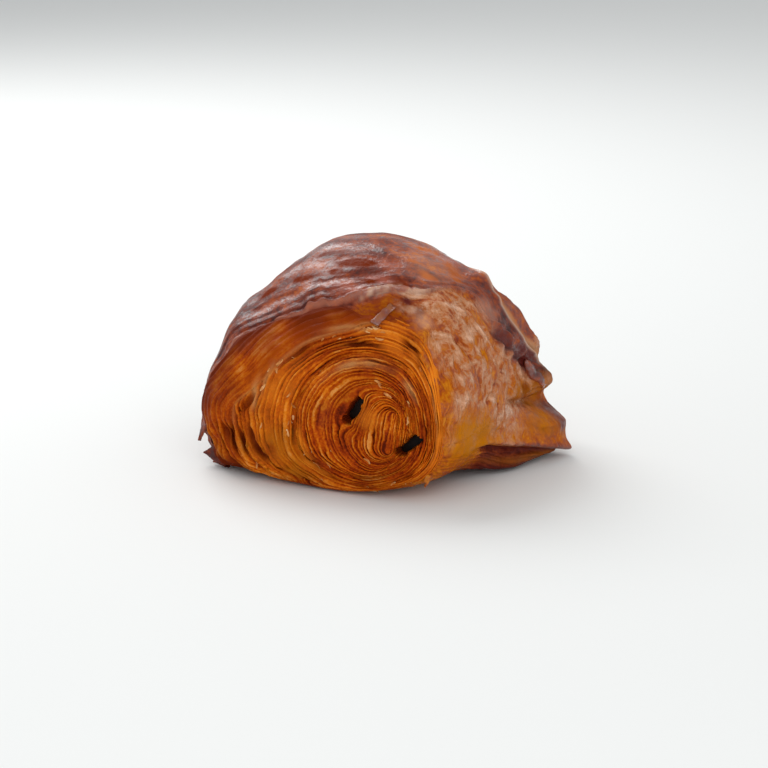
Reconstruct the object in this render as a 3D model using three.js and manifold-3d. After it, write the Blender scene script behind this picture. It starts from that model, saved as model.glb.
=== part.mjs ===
// A pain au chocolat: laminated dough rolled round two sticks of chocolate, risen and baked on its seam.
// It shows a dark glazed crust, two domed ends where the leaves of the roll come out as a spiral,
// a raised lip where the crust stops near the rear, and the loose end of the sheet spread out as a tail.
// Units are millimetres. In the roll's own frame x runs across the roll, y along it and z up, the front
// end is at negative y, and the finished group is moved so that its origin is under the middle of its box.
// Places round the roll are angles in degrees about its axis: 0 is +x, 90 is up, -90 is the seam below.

import * as THREE from 'three';
import * as BufferGeometryUtils from 'three/addons/utils/BufferGeometryUtils.js';
import Module from 'manifold-3d';

// Driving dimensions of the roll
const HALF_WIDTH = 43;      // half of the roll's width, without the tail
const HALF_LENGTH = 40.5;   // half of its length along the sticks
const HEIGHT = 66;          // top of the dome above the surface that it rests on
const SAG = 0.6;            // how far the section would reach below that surface: it rests flat there
const AXIS = { x: 1, z: 25 };            // middle of the section half way along
const FRONT_CORE = { x: 17.5, z: 20 };   // where the spiral starts on the front end
const REAR_CORE = { x: 12, z: 20.5 };    // and on the rear end
const CORE_SPREAD = 40;     // radius that the innermost leaves would grow to if they stayed round
const CORE_HOLD = { amount: 0.22, share: 0.5, width: 0.17 };   // keeps the inner leaves centred on the core
const CRUST_SHARE = 0.8;    // share of the section at which the end stops and the crust starts

// How square each quarter of the section is (2 is an ellipse), and each way that the ends are domed
const SQUARENESS = { upperRight: 2.28, upperLeft: 2, lowerRight: 3, lowerLeft: 4.6 };
const END_SQUARENESS = { top: 2.1, side: 4.6 };
// Where the section lies inside that plain outline
const TRIMS = [
  { angle: 140, depth: 3.9, span: 25 },
  { angle: 170, depth: 1.2, span: 14 },
];

// The tail: the sheet's loose end, spread on the surface at the lower right. It fades gently into the roll
// in front and has a thick square edge further back.
const TAIL = {
  reach: 14.9, angle: -25, edgeAngle: -14, topAngle: -6.5, edgeShare: 0.82,
  gentleSpan: 14, underSpan: 22, start: -26, peak: 22, end: 33, squareFrom: [-8, 16], fall: 0.36, lift: 0.09,
};

// The crust's rear edge slants forwards up the right side, where it stands up as a lip over deeper leaves
const LIP = {
  topAngle: 46, lowAngle: -12, topY: 8, lowY: 25, topRise: 1.2, lowRise: 5.2, swell: 6, face: 1.6,
  angles: [-15, -3, 46, 58],
};
const REAR_EDGE = { y: 25, drop: 1.2, lipDrop: 3.4, blend: 34, angles: [-50, -30, 214, 232] };
const LIP_DROP_ANGLES = [-30, -16, 46, 72];
const FOLDS = [             // where the crust is bunched up along the lip
  { angle: 43, y: 8, rise: 2.4, span: 5, reach: 3.5 },
  { angle: 12, y: 16.5, rise: 1.4, span: 5, reach: 3 },
  { angle: 1, y: 19.5, rise: 1.8, span: 4, reach: 3 },
];

// The crust's front edge stands proud of the leaves and is ragged, and the outer leaves leave steps in it
const FRONT_EDGE = { rise: 1.1, rows: 3, ragged: 0.9, angles: [-10, 30, 205, 224] };
const BAND = { pitch: 6.4, height: 0.8, count: 4, slant: 0.006, angles: [20, 60, 180, 215] };
const FLARE = { angle: 206, y: -26, rise: 2.5, span: 9 };   // the lower left corner of the crust
const LUMPS = [             // slow unevenness of the crust: height, waves round it and along it, phase
  { height: 0.5, around: 3, along: 2.1, phase: 1.3 },
  { height: 0.35, around: 2, along: -2.6, phase: 0.2 },
  { height: 0.4, around: 5, along: -3.4, phase: 0.7 },
];
const LUMP_ANGLES = [-55, -30, 212, 235];

// The leaves on the two ends. At the lower left they spread like the pages of a book, a band under the
// crust is nearly smooth, and below it the leaves have come apart.
const LEAF = { depth: 1.35, ridge: 0.35, groove: 0.65, wander: 0.005 };
const PAGES = { extra: 0.9, shares: [0.3, 0.62], angles: [125, 175, 205, 248] };
const SMOOTH_BAND = { fade: 0.7, shares: [0.56, 0.7], angles: [45, 80, 140, 175] };
const GAP = { depth: 1.2, share: 0.56, width: 0.05, angles: [50, 80, 140, 190] };

// Thin pieces of leaf that hang from the lower left corner, each given by the corners of its hull
const SHARDS = [
  [[-38, -21, 16], [-39.6, -30, 13], [-41.6, -27.5, 7.2], [-37, -22, 8], [-38.5, -29, 15], [-40.6, -26, 7.4]],
  [[-34, -27, 3.6], [-40.6, -27, 2.6], [-41, -25, 3.8], [-34, -21, 1.2], [-39.5, -24, 1.4], [-33, -29, 2]],
];

// The sticks of chocolate end a little inside the roll, in channels that run right through it
const STICK = { length: 70, corner: 1.1, bevel: 0.5, gap: 0.3 };
const STICKS = [
  { name: 'chocolate_stick_upper', x: 12.4, z: 24.8, width: 8.6, thickness: 4, tilt: 62 },
  { name: 'chocolate_stick_lower', x: 28.9, z: 16.4, width: 10, thickness: 4.4, tilt: 38 },
];

// How finely the surface is drawn
const COLUMNS = 72;         // points round the roll
const LEAVES = 10;          // turns of the spiral that show on each end
const CRUST_ROWS = 30;      // rows along the crust
const CREST_ROW = 22;       // the one that runs along the crest of its rear edge
const INNERMOST = 0.055;    // shares of the end at which its first and last leaves lie
const OUTERMOST = 0.985;
const GROOVE_STEP = 0.35;   // a groove lies this part of a row closer to the leaf inside it

// Small helpers
const mix = (a, b, share) => a + (b - a) * share;
const clamp01 = (value) => Math.min(1, Math.max(0, value));
const radians = (degrees) => (degrees * Math.PI) / 180;
const bell = (value, centre, width) => Math.exp(-(((value - centre) / width) ** 2));

function smooth(from, to, value) {
  const share = clamp01((value - from) / (to - from));
  return share * share * (3 - 2 * share);
}

// 1 between the inner two of four values, falling to 0 at the outer two
const within = ([start, full, fall, end], value) => smooth(start, full, value) * smooth(end, fall, value);

// The section: a dome over a flat base, rounder at the top and squarer low down on the left
function outline(angle) {
  const across = Math.cos(radians(angle));
  const up = Math.sin(radians(angle));
  const left = smooth(0.3, -0.5, across);
  const squareness = mix(
    mix(SQUARENESS.lowerRight, SQUARENESS.lowerLeft, left),
    mix(SQUARENESS.upperRight, SQUARENESS.upperLeft, left),
    smooth(-0.35, 0.35, up),
  );
  const halfHeight = up > 0 ? HEIGHT - AXIS.z : AXIS.z + SAG;
  const sum = Math.abs(across / HALF_WIDTH) ** squareness + Math.abs(up / halfHeight) ** squareness;
  return sum ** (-1 / squareness);
}

function trim(angle) {
  let depth = 0;
  for (const cut of TRIMS) depth += cut.depth * bell(angle, cut.angle, cut.span);
  return depth;
}

// The ends are domed: how far along the roll the section has shrunk to a share of itself, and back again
const endSquareness = (angle) =>
  mix(END_SQUARENESS.side, END_SQUARENESS.top, smooth(0, 0.9, Math.sin(radians(angle))));

function domeReach(share, angle) {
  const power = endSquareness(angle);
  return HALF_LENGTH * (1 - share ** power) ** (1 / power);
}

function domeShare(y, angle) {
  const power = endSquareness(angle);
  return (1 - Math.abs(y / HALF_LENGTH) ** power) ** (1 / power);
}

// The lip and the crust's rear edge
const lipDown = (angle) => clamp01((LIP.topAngle - angle) / (LIP.topAngle - LIP.lowAngle));

function rearEdge(angle) {
  const slant = mix(LIP.topY, LIP.lowY, lipDown(angle));
  return mix(slant, REAR_EDGE.y, smooth(LIP.topAngle, LIP.topAngle + REAR_EDGE.blend, angle));
}

function lipPush(angle, y) {
  const past = y - rearEdge(angle);
  let rise = mix(LIP.topRise, LIP.lowRise, lipDown(angle)) * (past < 0 ? Math.exp(past / LIP.swell) : 1);
  for (const fold of FOLDS) {
    rise += fold.rise * bell(angle, fold.angle, fold.span) * bell(y, fold.y, fold.reach);
  }
  const drop = mix(REAR_EDGE.drop, REAR_EDGE.lipDrop, within(LIP_DROP_ANGLES, angle));
  return rise * within(LIP.angles, angle) * smooth(LIP.face, 0, past)
    - drop * within(REAR_EDGE.angles, angle) * smooth(0, LIP.face, past);
}

// What else stands out from the section
function tailReach(angle, y) {
  const along = smooth(TAIL.start, TAIL.peak, y) * smooth(TAIL.end, TAIL.peak, y);
  const gentle = Math.exp(-(Math.abs((angle - TAIL.angle) / TAIL.gentleSpan) ** 1.25));
  const square = mix(1, TAIL.edgeShare, smooth(TAIL.angle, TAIL.edgeAngle, angle))
    * smooth(TAIL.topAngle, TAIL.edgeAngle, angle);
  const above = mix(gentle, square, smooth(...TAIL.squareFrom, y));
  const below = smooth(TAIL.angle - TAIL.underSpan, TAIL.angle, angle);
  return TAIL.reach * along * (angle > TAIL.angle ? above : below);
}

const flare = (angle, y) => FLARE.rise * bell(angle, FLARE.angle, FLARE.span) * bell(y, FLARE.y, FLARE.span);

function lumps(angle, y) {
  let sum = 0;
  for (const { height, around, along, phase } of LUMPS) {
    sum += height * Math.sin(around * radians(angle) + (along * y) / HALF_LENGTH + phase);
  }
  return sum * within(LUMP_ANGLES, angle);
}

function bands(angle, y, edgeY) {
  const turn = (edgeY - Math.abs(y)) / BAND.pitch - BAND.slant * (angle - 90);
  const shown = smooth(BAND.count + 0.4, BAND.count - 1, Math.abs(turn)) * smooth(0, 0.35, turn);
  return BAND.height * shown * Math.sin(2 * Math.PI * turn) * within(BAND.angles, angle);
}

const frontStep = (row, angle) =>
  (row > 0 ? FRONT_EDGE.rise * Math.exp(-(row - 1) / FRONT_EDGE.rows) * within(FRONT_EDGE.angles, angle) : 0);

// A point of the skin, at a share of the section, an angle and a place along the roll. The middle that
// the angle is taken about moves from the spiral's core to the section's own middle.
function skinPoint(share, angle, y, extra = 0) {
  const rear = smooth(-30, 30, y);
  const drift = share ** 1.5 - CORE_HOLD.amount * bell(share, CORE_HOLD.share, CORE_HOLD.width);
  const middleX = mix(mix(FRONT_CORE.x, REAR_CORE.x, rear), AXIS.x, drift);
  const middleZ = mix(mix(FRONT_CORE.z, REAR_CORE.z, rear), AXIS.z, drift);
  const outer = smooth(0.6, 0.9, share);
  const tail = tailReach(angle, y) * outer;
  const radius = share * mix(CORE_SPREAD, outline(angle), share ** 1.2) + extra
    + (lipPush(angle, y) + flare(angle, y) + lumps(angle, y) - trim(angle)) * outer;
  const x = middleX + radius * Math.cos(radians(angle)) + tail;
  const z = middleZ + radius * Math.sin(radians(angle)) - TAIL.fall * tail;
  return [x, y, Math.max(z, TAIL.lift * tail, 0)];
}

// The leaves on an end: how deep their grooves are there, and how they wander from the even spiral
function leafDepth(share, angle) {
  const pages = within(PAGES.angles, angle) * smooth(...PAGES.shares, share);
  const smoothBand = within(SMOOTH_BAND.angles, angle) * smooth(...SMOOTH_BAND.shares, share);
  const start = smooth(0.03, 0.12, share);
  return LEAF.depth * (1 + PAGES.extra * pages) * (1 - SMOOTH_BAND.fade * smoothBand) * start;
}

const wander = (share, angle) => LEAF.wander * within([0.1, 0.25, 0.66, 0.78], share)
  * (Math.sin(radians(4 * angle) + 9 * share) + 0.6 * Math.sin(radians(9 * angle) - 14 * share));

function endPoint(side, share, angle, isGroove) {
  const reach = domeReach(share, angle);
  const [x, , z] = skinPoint(share + wander(share, angle), angle, side * reach);
  const clearOfSurface = smooth(0.5, 4, z);
  const fade = smooth(CRUST_SHARE, 0.9 * CRUST_SHARE, share);
  const gap = GAP.depth * bell(share, GAP.share, GAP.width) * within(GAP.angles, angle);
  const depth = leafDepth(share, angle);
  const relief = isGroove ? -LEAF.groove * depth - gap : LEAF.ridge * depth;
  return [x, side * (reach + relief * clearOfSurface * fade), z];
}

// Rows of the crust: a ragged front edge, one row along the crest of the rear edge, and the next one at
// the foot of its drop
function crustRowY(row, angle, edgeY) {
  const around = radians(angle);
  const ragged = FRONT_EDGE.ragged * (0.6 * Math.sin(7 * around + 0.5) + 0.4 * Math.sin(17 * around));
  const crest = Math.min(rearEdge(angle), edgeY - 5);
  if (row === 0) return -edgeY;
  if (row > CREST_ROW) {
    return mix(crest + LIP.face, edgeY, (row - CREST_ROW - 1) / (CRUST_ROWS - CREST_ROW - 1));
  }
  return mix(0.5 - edgeY + ragged * smooth(4, 1, row), crest, (row - 1) / (CREST_ROW - 1));
}

// Columns lie closer together where the tail, the lip and the flare are
function columnAngles() {
  const density = (angle) => 1 + 1.9 * bell(angle, -18, 16) + 0.5 * bell(angle, 196, 22);
  const steps = 720;
  const sums = [0];
  for (let i = 0; i < steps; i += 1) {
    sums.push(sums[i] + density(-90 + (360 * (i + 0.5)) / steps));
  }
  const angles = [];
  let i = 0;
  for (let column = 0; column < COLUMNS; column += 1) {
    const wanted = (sums[steps] * column) / COLUMNS;
    while (sums[i + 1] < wanted) i += 1;
    angles.push(-90 + (360 * (i + (wanted - sums[i]) / (sums[i + 1] - sums[i]))) / steps);
  }
  return angles;
}

// The dough's surface: two spiral ends and the crust between them
function doughGeometry() {
  const angles = columnAngles();
  const points = [];
  const faces = [];
  const add = (point) => points.push(point) - 1;

  // One end. A leaf is two rows, a ridge and a groove, and the next turn starts two rows further out,
  // so that going once round the end leads from each leaf to the next one, as in the rolled sheet.
  function end(side, edgeRing) {
    const rows = 2 * LEAVES;
    const turn = (face) => faces.push(side > 0 ? face : [face[0], face[2], face[1]]);
    const leafShare = (row, column) =>
      CRUST_SHARE * mix(INNERMOST, OUTERMOST, (row + (2 * column) / COLUMNS) / (rows + 2));
    const grid = [];
    for (let row = 0; row < rows; row += 1) {
      const isGroove = row % 2 === 1;
      const place = isGroove ? row - GROOVE_STEP : row;
      grid.push(angles.map((angle, column) =>
        add(endPoint(side, leafShare(place, column), angle, isGroove))));
    }
    const at = (row, column) => (column < COLUMNS ? grid[row][column] : grid[row + 2][0]);
    for (let row = 0; row + 1 < rows; row += 1) {
      const last = row + 3 >= rows ? COLUMNS - 1 : COLUMNS;
      for (let column = 0; column < last; column += 1) {
        turn([at(row, column), at(row, column + 1), at(row + 1, column + 1)]);
        turn([at(row, column), at(row + 1, column + 1), at(row + 1, column)]);
      }
    }
    // The centre of the spiral
    const core = side < 0 ? FRONT_CORE : REAR_CORE;
    const centre = add([core.x, side * (HALF_LENGTH - 0.4), core.z]);
    const inner = [...grid[0], grid[2][0], grid[1][0]];
    inner.forEach((vertex, i) => turn([centre, inner[(i + 1) % inner.length], vertex]));
    // The outermost leaf runs out into the ring where the crust starts
    const outer = grid[rows - 1];
    for (let column = 0; column < COLUMNS - 1; column += 1) {
      turn([outer[column], outer[column + 1], edgeRing[column + 1]]);
      turn([outer[column], edgeRing[column + 1], edgeRing[column]]);
    }
    const fan = [grid[rows - 3], grid[rows - 2], outer, edgeRing].map((row) => row[COLUMNS - 1]);
    for (let i = 0; i + 1 < fan.length; i += 1) turn([fan[i], outer[0], fan[i + 1]]);
    turn([edgeRing[COLUMNS - 1], outer[0], edgeRing[0]]);
  }

  // The crust, from the front edge to the rear one
  const rings = [];
  for (let row = 0; row <= CRUST_ROWS; row += 1) {
    rings.push(angles.map((angle) => {
      const edgeY = domeReach(CRUST_SHARE, angle);
      const y = crustRowY(row, angle, edgeY);
      return add(skinPoint(domeShare(y, angle), angle, y, bands(angle, y, edgeY) + frontStep(row, angle)));
    }));
  }
  for (let row = 0; row < CRUST_ROWS; row += 1) {
    for (let column = 0; column < COLUMNS; column += 1) {
      const next = (column + 1) % COLUMNS;
      faces.push([rings[row][column], rings[row + 1][next], rings[row][next]]);
      faces.push([rings[row][column], rings[row + 1][column], rings[row + 1][next]]);
    }
  }
  end(-1, rings[0]);
  end(1, rings[CRUST_ROWS]);

  const geometry = new THREE.BufferGeometry();
  geometry.setAttribute('position', new THREE.Float32BufferAttribute(points.flat(), 3));
  geometry.setIndex(faces.flat());
  return geometry;
}

// A bar with rounded corners along a stick: the stick itself, or with a margin the channel that it lies in
function barGeometry(stick, length, margin, bevel) {
  const halfWidth = stick.width / 2 + margin;
  const halfThickness = stick.thickness / 2 + margin;
  const corner = STICK.corner + margin;
  const shape = new THREE.Shape();
  shape.absarc(halfWidth - corner, corner - halfThickness, corner, -Math.PI / 2, 0);
  shape.absarc(halfWidth - corner, halfThickness - corner, corner, 0, Math.PI / 2);
  shape.absarc(corner - halfWidth, halfThickness - corner, corner, Math.PI / 2, Math.PI);
  shape.absarc(corner - halfWidth, corner - halfThickness, corner, Math.PI, 1.5 * Math.PI);
  const geometry = new THREE.ExtrudeGeometry(shape, {
    depth: length - 2 * bevel,
    curveSegments: 3,
    steps: 1,
    bevelEnabled: bevel > 0,
    bevelThickness: bevel,
    bevelSize: bevel,
    bevelOffset: -bevel,
    bevelSegments: 1,
  });
  geometry.translate(0, 0, bevel - length / 2);
  geometry.rotateZ(radians(stick.tilt));
  geometry.rotateX(Math.PI / 2);
  geometry.translate(stick.x, 0, stick.z);
  return geometry;
}

const stickGeometry = (stick) => barGeometry(stick, STICK.length, 0, STICK.bevel);
const channelGeometry = (stick) => barGeometry(stick, 4 * HALF_LENGTH, STICK.gap, 0);

// Solids in and out of the boolean library
const wasm = await Module();
wasm.setup();

function toSolid(geometry) {
  const bare = geometry.clone();
  bare.deleteAttribute('normal');
  bare.deleteAttribute('uv');
  const merged = BufferGeometryUtils.mergeVertices(bare);
  return new wasm.Manifold(new wasm.Mesh({
    numProp: 3,
    vertProperties: new Float32Array(merged.attributes.position.array),
    triVerts: new Uint32Array(merged.index.array),
  }));
}

function toGeometry(solid) {
  const mesh = solid.getMesh();
  const geometry = new THREE.BufferGeometry();
  geometry.setAttribute('position', new THREE.BufferAttribute(new Float32Array(mesh.vertProperties), 3));
  geometry.setIndex(Array.from(mesh.triVerts));
  geometry.computeVertexNormals();
  return geometry;
}

// Materials
const crust = new THREE.MeshStandardMaterial({ color: '#8a431b', roughness: 0.35, metalness: 0 });
const chocolate = new THREE.MeshStandardMaterial({ color: '#2a1610', roughness: 0.45, metalness: 0 });

// Assembly
function doughMesh() {
  let dough = toSolid(doughGeometry());
  for (const corners of SHARDS) dough = dough.add(wasm.Manifold.hull(corners));
  for (const stick of STICKS) dough = dough.subtract(toSolid(channelGeometry(stick)));
  const mesh = new THREE.Mesh(toGeometry(dough), crust);
  mesh.name = 'dough';
  return mesh;
}

function stickMesh(stick) {
  const mesh = new THREE.Mesh(stickGeometry(stick), chocolate);
  mesh.name = stick.name;
  return mesh;
}

const pastry = new THREE.Group();
pastry.add(doughMesh(), ...STICKS.map(stickMesh));
const box = new THREE.Box3().setFromObject(pastry);
const middle = box.getCenter(new THREE.Vector3());
pastry.position.set(-middle.x, -middle.y, -box.min.z);

export default pastry;
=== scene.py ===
# %% [markdown]
# # A pain au chocolat, rolled, baked and glazed
# The real thing is one sheet of laminated dough, rolled round two sticks of chocolate and baked on its seam.
# This lesson dresses the plain solid of it with what the oven makes: leaves of dough that come out as a
# spiral on both ends, a browned and glazed crust over them, and a lip and a tail where the sheet ends.

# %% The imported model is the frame
import itertools
import math
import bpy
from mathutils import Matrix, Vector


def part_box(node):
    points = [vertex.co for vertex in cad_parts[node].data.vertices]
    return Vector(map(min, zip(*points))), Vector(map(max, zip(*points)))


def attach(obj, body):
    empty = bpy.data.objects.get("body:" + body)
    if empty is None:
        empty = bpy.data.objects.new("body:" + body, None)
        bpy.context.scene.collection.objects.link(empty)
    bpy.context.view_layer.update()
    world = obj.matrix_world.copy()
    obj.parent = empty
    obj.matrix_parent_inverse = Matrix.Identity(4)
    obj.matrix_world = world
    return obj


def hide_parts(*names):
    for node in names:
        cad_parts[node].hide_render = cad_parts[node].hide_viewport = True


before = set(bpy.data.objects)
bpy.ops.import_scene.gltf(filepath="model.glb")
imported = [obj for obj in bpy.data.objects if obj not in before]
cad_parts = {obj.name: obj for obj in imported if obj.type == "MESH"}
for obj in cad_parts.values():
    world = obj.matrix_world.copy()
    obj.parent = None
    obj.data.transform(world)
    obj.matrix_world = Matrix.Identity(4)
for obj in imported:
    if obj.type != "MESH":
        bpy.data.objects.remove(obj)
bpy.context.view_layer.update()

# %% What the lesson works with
from types import SimpleNamespace
import bpy
import numpy as np
from mathutils import Matrix, Vector

MM = 0.001

# %% [markdown]
# ## One shape for everything
# Crust, leaves and tail are all parts of one rolled body, so they have to agree about where its surface is.
# They could be sculpted one by one. Here they share one function instead: it takes a place in the roll and
# returns a point. The place is an angle round the roll (0 to the right, 90 up, -90 the seam below), a share
# of the section (0 in the core, 1 at the skin) and y, the distance along the roll. All of it is in
# millimetres and repeats the formulas that the solid was made with, so the pieces fit the frame.

# %% Helpers for numbers
def mix(a, b, share):
    return a + (b - a) * share


def smooth(start, end, value):
    share = np.clip((value - start) / (end - start), 0, 1)
    return share * share * (3 - 2 * share)


def bell(value, centre, width):
    return np.exp(-(((value - centre) / width) ** 2))


def within(edges, value):
    """1 between the inner two of four values, falling to 0 at the outer two."""
    return smooth(edges[0], edges[1], value) * smooth(edges[3], edges[2], value)


def through(points, value, soften=4):
    """The height at a value of a chain of (place, height) points, with its corners rounded."""
    places, heights = zip(*points)
    steps = np.linspace(-soften, soften, 5)
    return sum(np.interp(value + step, places, heights) for step in steps) / len(steps)


# %% The roll's driving sizes
HALF_WIDTH, HALF_LENGTH, HEIGHT, SAG = 43, 40.5, 66, 0.6
AXIS = (1, 25)
FRONT_CORE, REAR_CORE = (17.5, 20), (12, 20.5)
CORE_SPREAD = 40
CORE_HOLD = (0.22, 0.5, 0.17)
CRUST_SHARE = 0.8
SQUARENESS = {"upper right": 2.28, "upper left": 2, "lower right": 3, "lower left": 4.6}
END_SQUARENESS = {"top": 2.1, "side": 4.6}
TRIMS = [(140, 3.9, 25), (170, 1.2, 14)]

# %% Arcs of the roll, as the angles where each begins, is full, stops being full and ends
ARCS = {"lumpy": (-55, -30, 212, 235), "lip": (-15, -3, 46, 58), "behind lip": (-30, -16, 46, 72),
        "rear edge": (-50, -30, 214, 232), "settled": (46, 60, 100, 122), "left leaves": (90, 140, 235, 262),
        "pages": (152, 190, 226, 252), "soft cover": (125, 155, 200, 215), "right leaves": (-40, -20, 30, 50),
        "under rim": (70, 96, 225, 260), "lively": (-40, -20, 215, 232), "side": (-60, -30, 58, 72),
        "bands": (0, 60, 205, 222), "rim": (-12, -2, 104, 122), "bead": (44, 54, 205, 222),
        "step": (80, 94, 215, 232), "tuck": (-60, -40, 60, 85), "shoulder": (-28, -12, 34, 60),
        "lip top": (2, 9, 24, 36), "bulge": (-10, -7, 1, 5), "crest": (-2, 8, 46, 54),
        "crest line": (0, 8, 44, 52), "strip": (50, 62, 106, 122), "rim glaze": (44, 58, 200, 215),
        "upper right": (34, 46, 68, 84), "film": (-30, -8, 58, 70), "rim highlight": (50, 60, 190, 215),
        "crinkled": (48, 56, 84, 90), "swell": (44, 56, 150, 175), "glossy": (40, 52, 66, 80),
        "valley": (-4, 6, 44, 54), "rear film": (-30, -12, 30, 45), "rear bands": (40, 70, 200, 220)}


def arc(name, angle):
    """1 on an arc of the roll, falling to 0 beside it."""
    return within(ARCS[name], angle)


# %% The section and the domed ends
def outline(angle):
    """How far the section reaches at an angle, for a dome over a flat base."""
    across = np.cos(np.radians(angle))
    up = np.sin(np.radians(angle))
    left = smooth(0.3, -0.5, across)
    low = mix(SQUARENESS["lower right"], SQUARENESS["lower left"], left)
    high = mix(SQUARENESS["upper right"], SQUARENESS["upper left"], left)
    power = mix(low, high, smooth(-0.35, 0.35, up))
    half_height = np.where(up > 0, HEIGHT - AXIS[1], AXIS[1] + SAG)
    total = np.abs(across / HALF_WIDTH) ** power + np.abs(up / half_height) ** power
    return total ** (-1 / power)


def trim(angle):
    return sum(depth * bell(angle, centre, span) for centre, depth, span in TRIMS)


def end_power(angle):
    return mix(END_SQUARENESS["side"], END_SQUARENESS["top"], smooth(0, 0.9, np.sin(np.radians(angle))))


def dome_reach(share, angle):
    """How far along the roll the section has shrunk to a share of itself."""
    power = end_power(angle)
    return HALF_LENGTH * (1 - share ** power) ** (1 / power)


def dome_share(y, angle):
    power = end_power(angle)
    return (1 - np.minimum(np.abs(y / HALF_LENGTH), 1) ** power) ** (1 / power)


# %% The tail, where the loose end of the sheet spreads on the surface
TAIL = {"reach": 14.9, "angle": -25, "edge angle": -14, "top angle": -6.5, "edge share": 0.82, "gentle": 14,
        "under": 22, "start": -26, "peak": 22, "end": 33, "square from": (-8, 16), "fall": 0.36, "lift": 0.09}


def tail_reach(angle, y):
    along = smooth(TAIL["start"], TAIL["peak"], y) * smooth(TAIL["end"], TAIL["peak"], y)
    gentle = np.exp(-(np.abs((angle - TAIL["angle"]) / TAIL["gentle"]) ** 1.25))
    square = mix(1, TAIL["edge share"], smooth(TAIL["angle"], TAIL["edge angle"], angle))
    square = square * smooth(TAIL["top angle"], TAIL["edge angle"], angle)
    above = mix(gentle, square, smooth(*TAIL["square from"], y))
    below = smooth(TAIL["angle"] - TAIL["under"], TAIL["angle"], angle)
    return TAIL["reach"] * along * np.where(angle > TAIL["angle"], above, below)


# %% The lip, where the crust's rear edge stands up over deeper leaves
LIP = {"top angle": 46, "low angle": -12, "top y": 8, "low y": 25, "top rise": 1.2, "low rise": 5.2,
       "swell": 6}
REAR_EDGE = {"y": 25, "drop": 1.2, "lip drop": 3.4, "blend": 34}
FOLDS = [(43, 8, 2.4, 5, 3.5), (12, 16.5, 1.4, 5, 3), (1, 19.5, 1.8, 4, 3)]


def lip_down(angle):
    return np.clip((LIP["top angle"] - angle) / (LIP["top angle"] - LIP["low angle"]), 0, 1)


def rear_edge(angle):
    """The y at which the thick part of the crust stops."""
    slant = mix(LIP["top y"], LIP["low y"], lip_down(angle))
    return mix(slant, REAR_EDGE["y"], smooth(LIP["top angle"], LIP["top angle"] + REAR_EDGE["blend"], angle))


def lip_rise(angle, y):
    """How far the crust stands up towards its rear edge, with the folds that it is bunched into."""
    past = np.minimum(y - rear_edge(angle), 0)
    rise = mix(LIP["top rise"], LIP["low rise"], lip_down(angle)) * np.exp(past / LIP["swell"])
    for fold_angle, fold_y, height, span, reach in FOLDS:
        rise = rise + height * bell(angle, fold_angle, span) * bell(y, fold_y, reach)
    return rise * arc("lip", angle)


def rear_drop(angle):
    """How deep the next turn of the roll lies below the crust behind its rear edge."""
    drop = mix(REAR_EDGE["drop"], REAR_EDGE["lip drop"], arc("behind lip", angle))
    return drop * arc("rear edge", angle)


# %% Slow unevenness, and the flared corner at the lower left
FLARE = {"angle": 206, "y": -26, "rise": 2.5, "span": 9}
LUMPS = [(0.5, 3, 2.1, 1.3), (0.35, 2, -2.6, 0.2), (0.4, 5, -3.4, 0.7)]


def flare(angle, y):
    return FLARE["rise"] * bell(angle, FLARE["angle"], FLARE["span"]) * bell(y, FLARE["y"], FLARE["span"])


def lumps(angle, y):
    waves = (height * np.sin(around * np.radians(angle) + along * y / HALF_LENGTH + phase)
             for height, around, along, phase in LUMPS)
    return sum(waves) * arc("lumpy", angle)


# %% A point of the roll
def roll_point(share, angle, y, extra=0.0):
    """The point at a share of the section, an angle and a y, with extra added along the radius."""
    share, angle, y = np.broadcast_arrays(share, angle, y)
    rear = smooth(-30, 30, y)
    hold, hold_share, hold_width = CORE_HOLD
    drift = share ** 1.5 - hold * bell(share, hold_share, hold_width)
    middle_x = mix(mix(FRONT_CORE[0], REAR_CORE[0], rear), AXIS[0], drift)
    middle_z = mix(mix(FRONT_CORE[1], REAR_CORE[1], rear), AXIS[1], drift)
    outer = smooth(0.6, 0.9, share)
    tail = tail_reach(angle, y) * outer
    radius = share * mix(CORE_SPREAD, outline(angle), share ** 1.2) + extra
    radius = radius + (flare(angle, y) + lumps(angle, y) - trim(angle)) * outer
    x = middle_x + radius * np.cos(np.radians(angle)) + tail
    z = middle_z + radius * np.sin(np.radians(angle)) - TAIL["fall"] * tail
    return np.stack([x, y, np.maximum(z, TAIL["lift"] * tail)], -1)


# %% [markdown]
# ## Noise and grids
# Baked dough is uneven at every size. Blender's texture nodes give noise in materials and in Geometry Nodes,
# but the grids of points here are made in numpy, so a small value noise is written once: random numbers on a
# lattice with a fixed seed, blended smoothly between its corners.

# %% Value noise on a fixed lattice
CELLS, FIRST_CELL = 48, 17.3
LATTICE = np.random.default_rng(11).random((CELLS, CELLS, CELLS))


def noise(points, size, offset=0.0):
    """Smooth noise from -1 to 1 at points in mm, with blobs of about the given size."""
    cells = points / np.asarray(size, float) + FIRST_CELL + offset
    corner = np.floor(cells).astype(int)
    part = cells - corner
    part = part * part * (3 - 2 * part)
    total = 0.0
    for step in itertools.product((0, 1), repeat=3):
        near = [part[..., axis] if step[axis] else 1 - part[..., axis] for axis in range(3)]
        i, j, k = ((corner[..., axis] + step[axis]) % CELLS for axis in range(3))
        total = total + near[0] * near[1] * near[2] * LATTICE[i, j, k]
    return 2 * total - 1


# %% Where the roll's own frame lies in the row's
STICKS = {"chocolate_stick_upper": (12.4, 24.8, 62), "chocolate_stick_lower": (28.9, 16.4, 38)}
stick_low, stick_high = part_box("chocolate_stick_lower")
stick_x, stick_z, _ = STICKS["chocolate_stick_lower"]
SHIFT = np.array((stick_low + stick_high) / 2) / MM - np.array([stick_x, 0, stick_z])
print("the roll's frame is shifted by", SHIFT.round(2), "mm")


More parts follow.
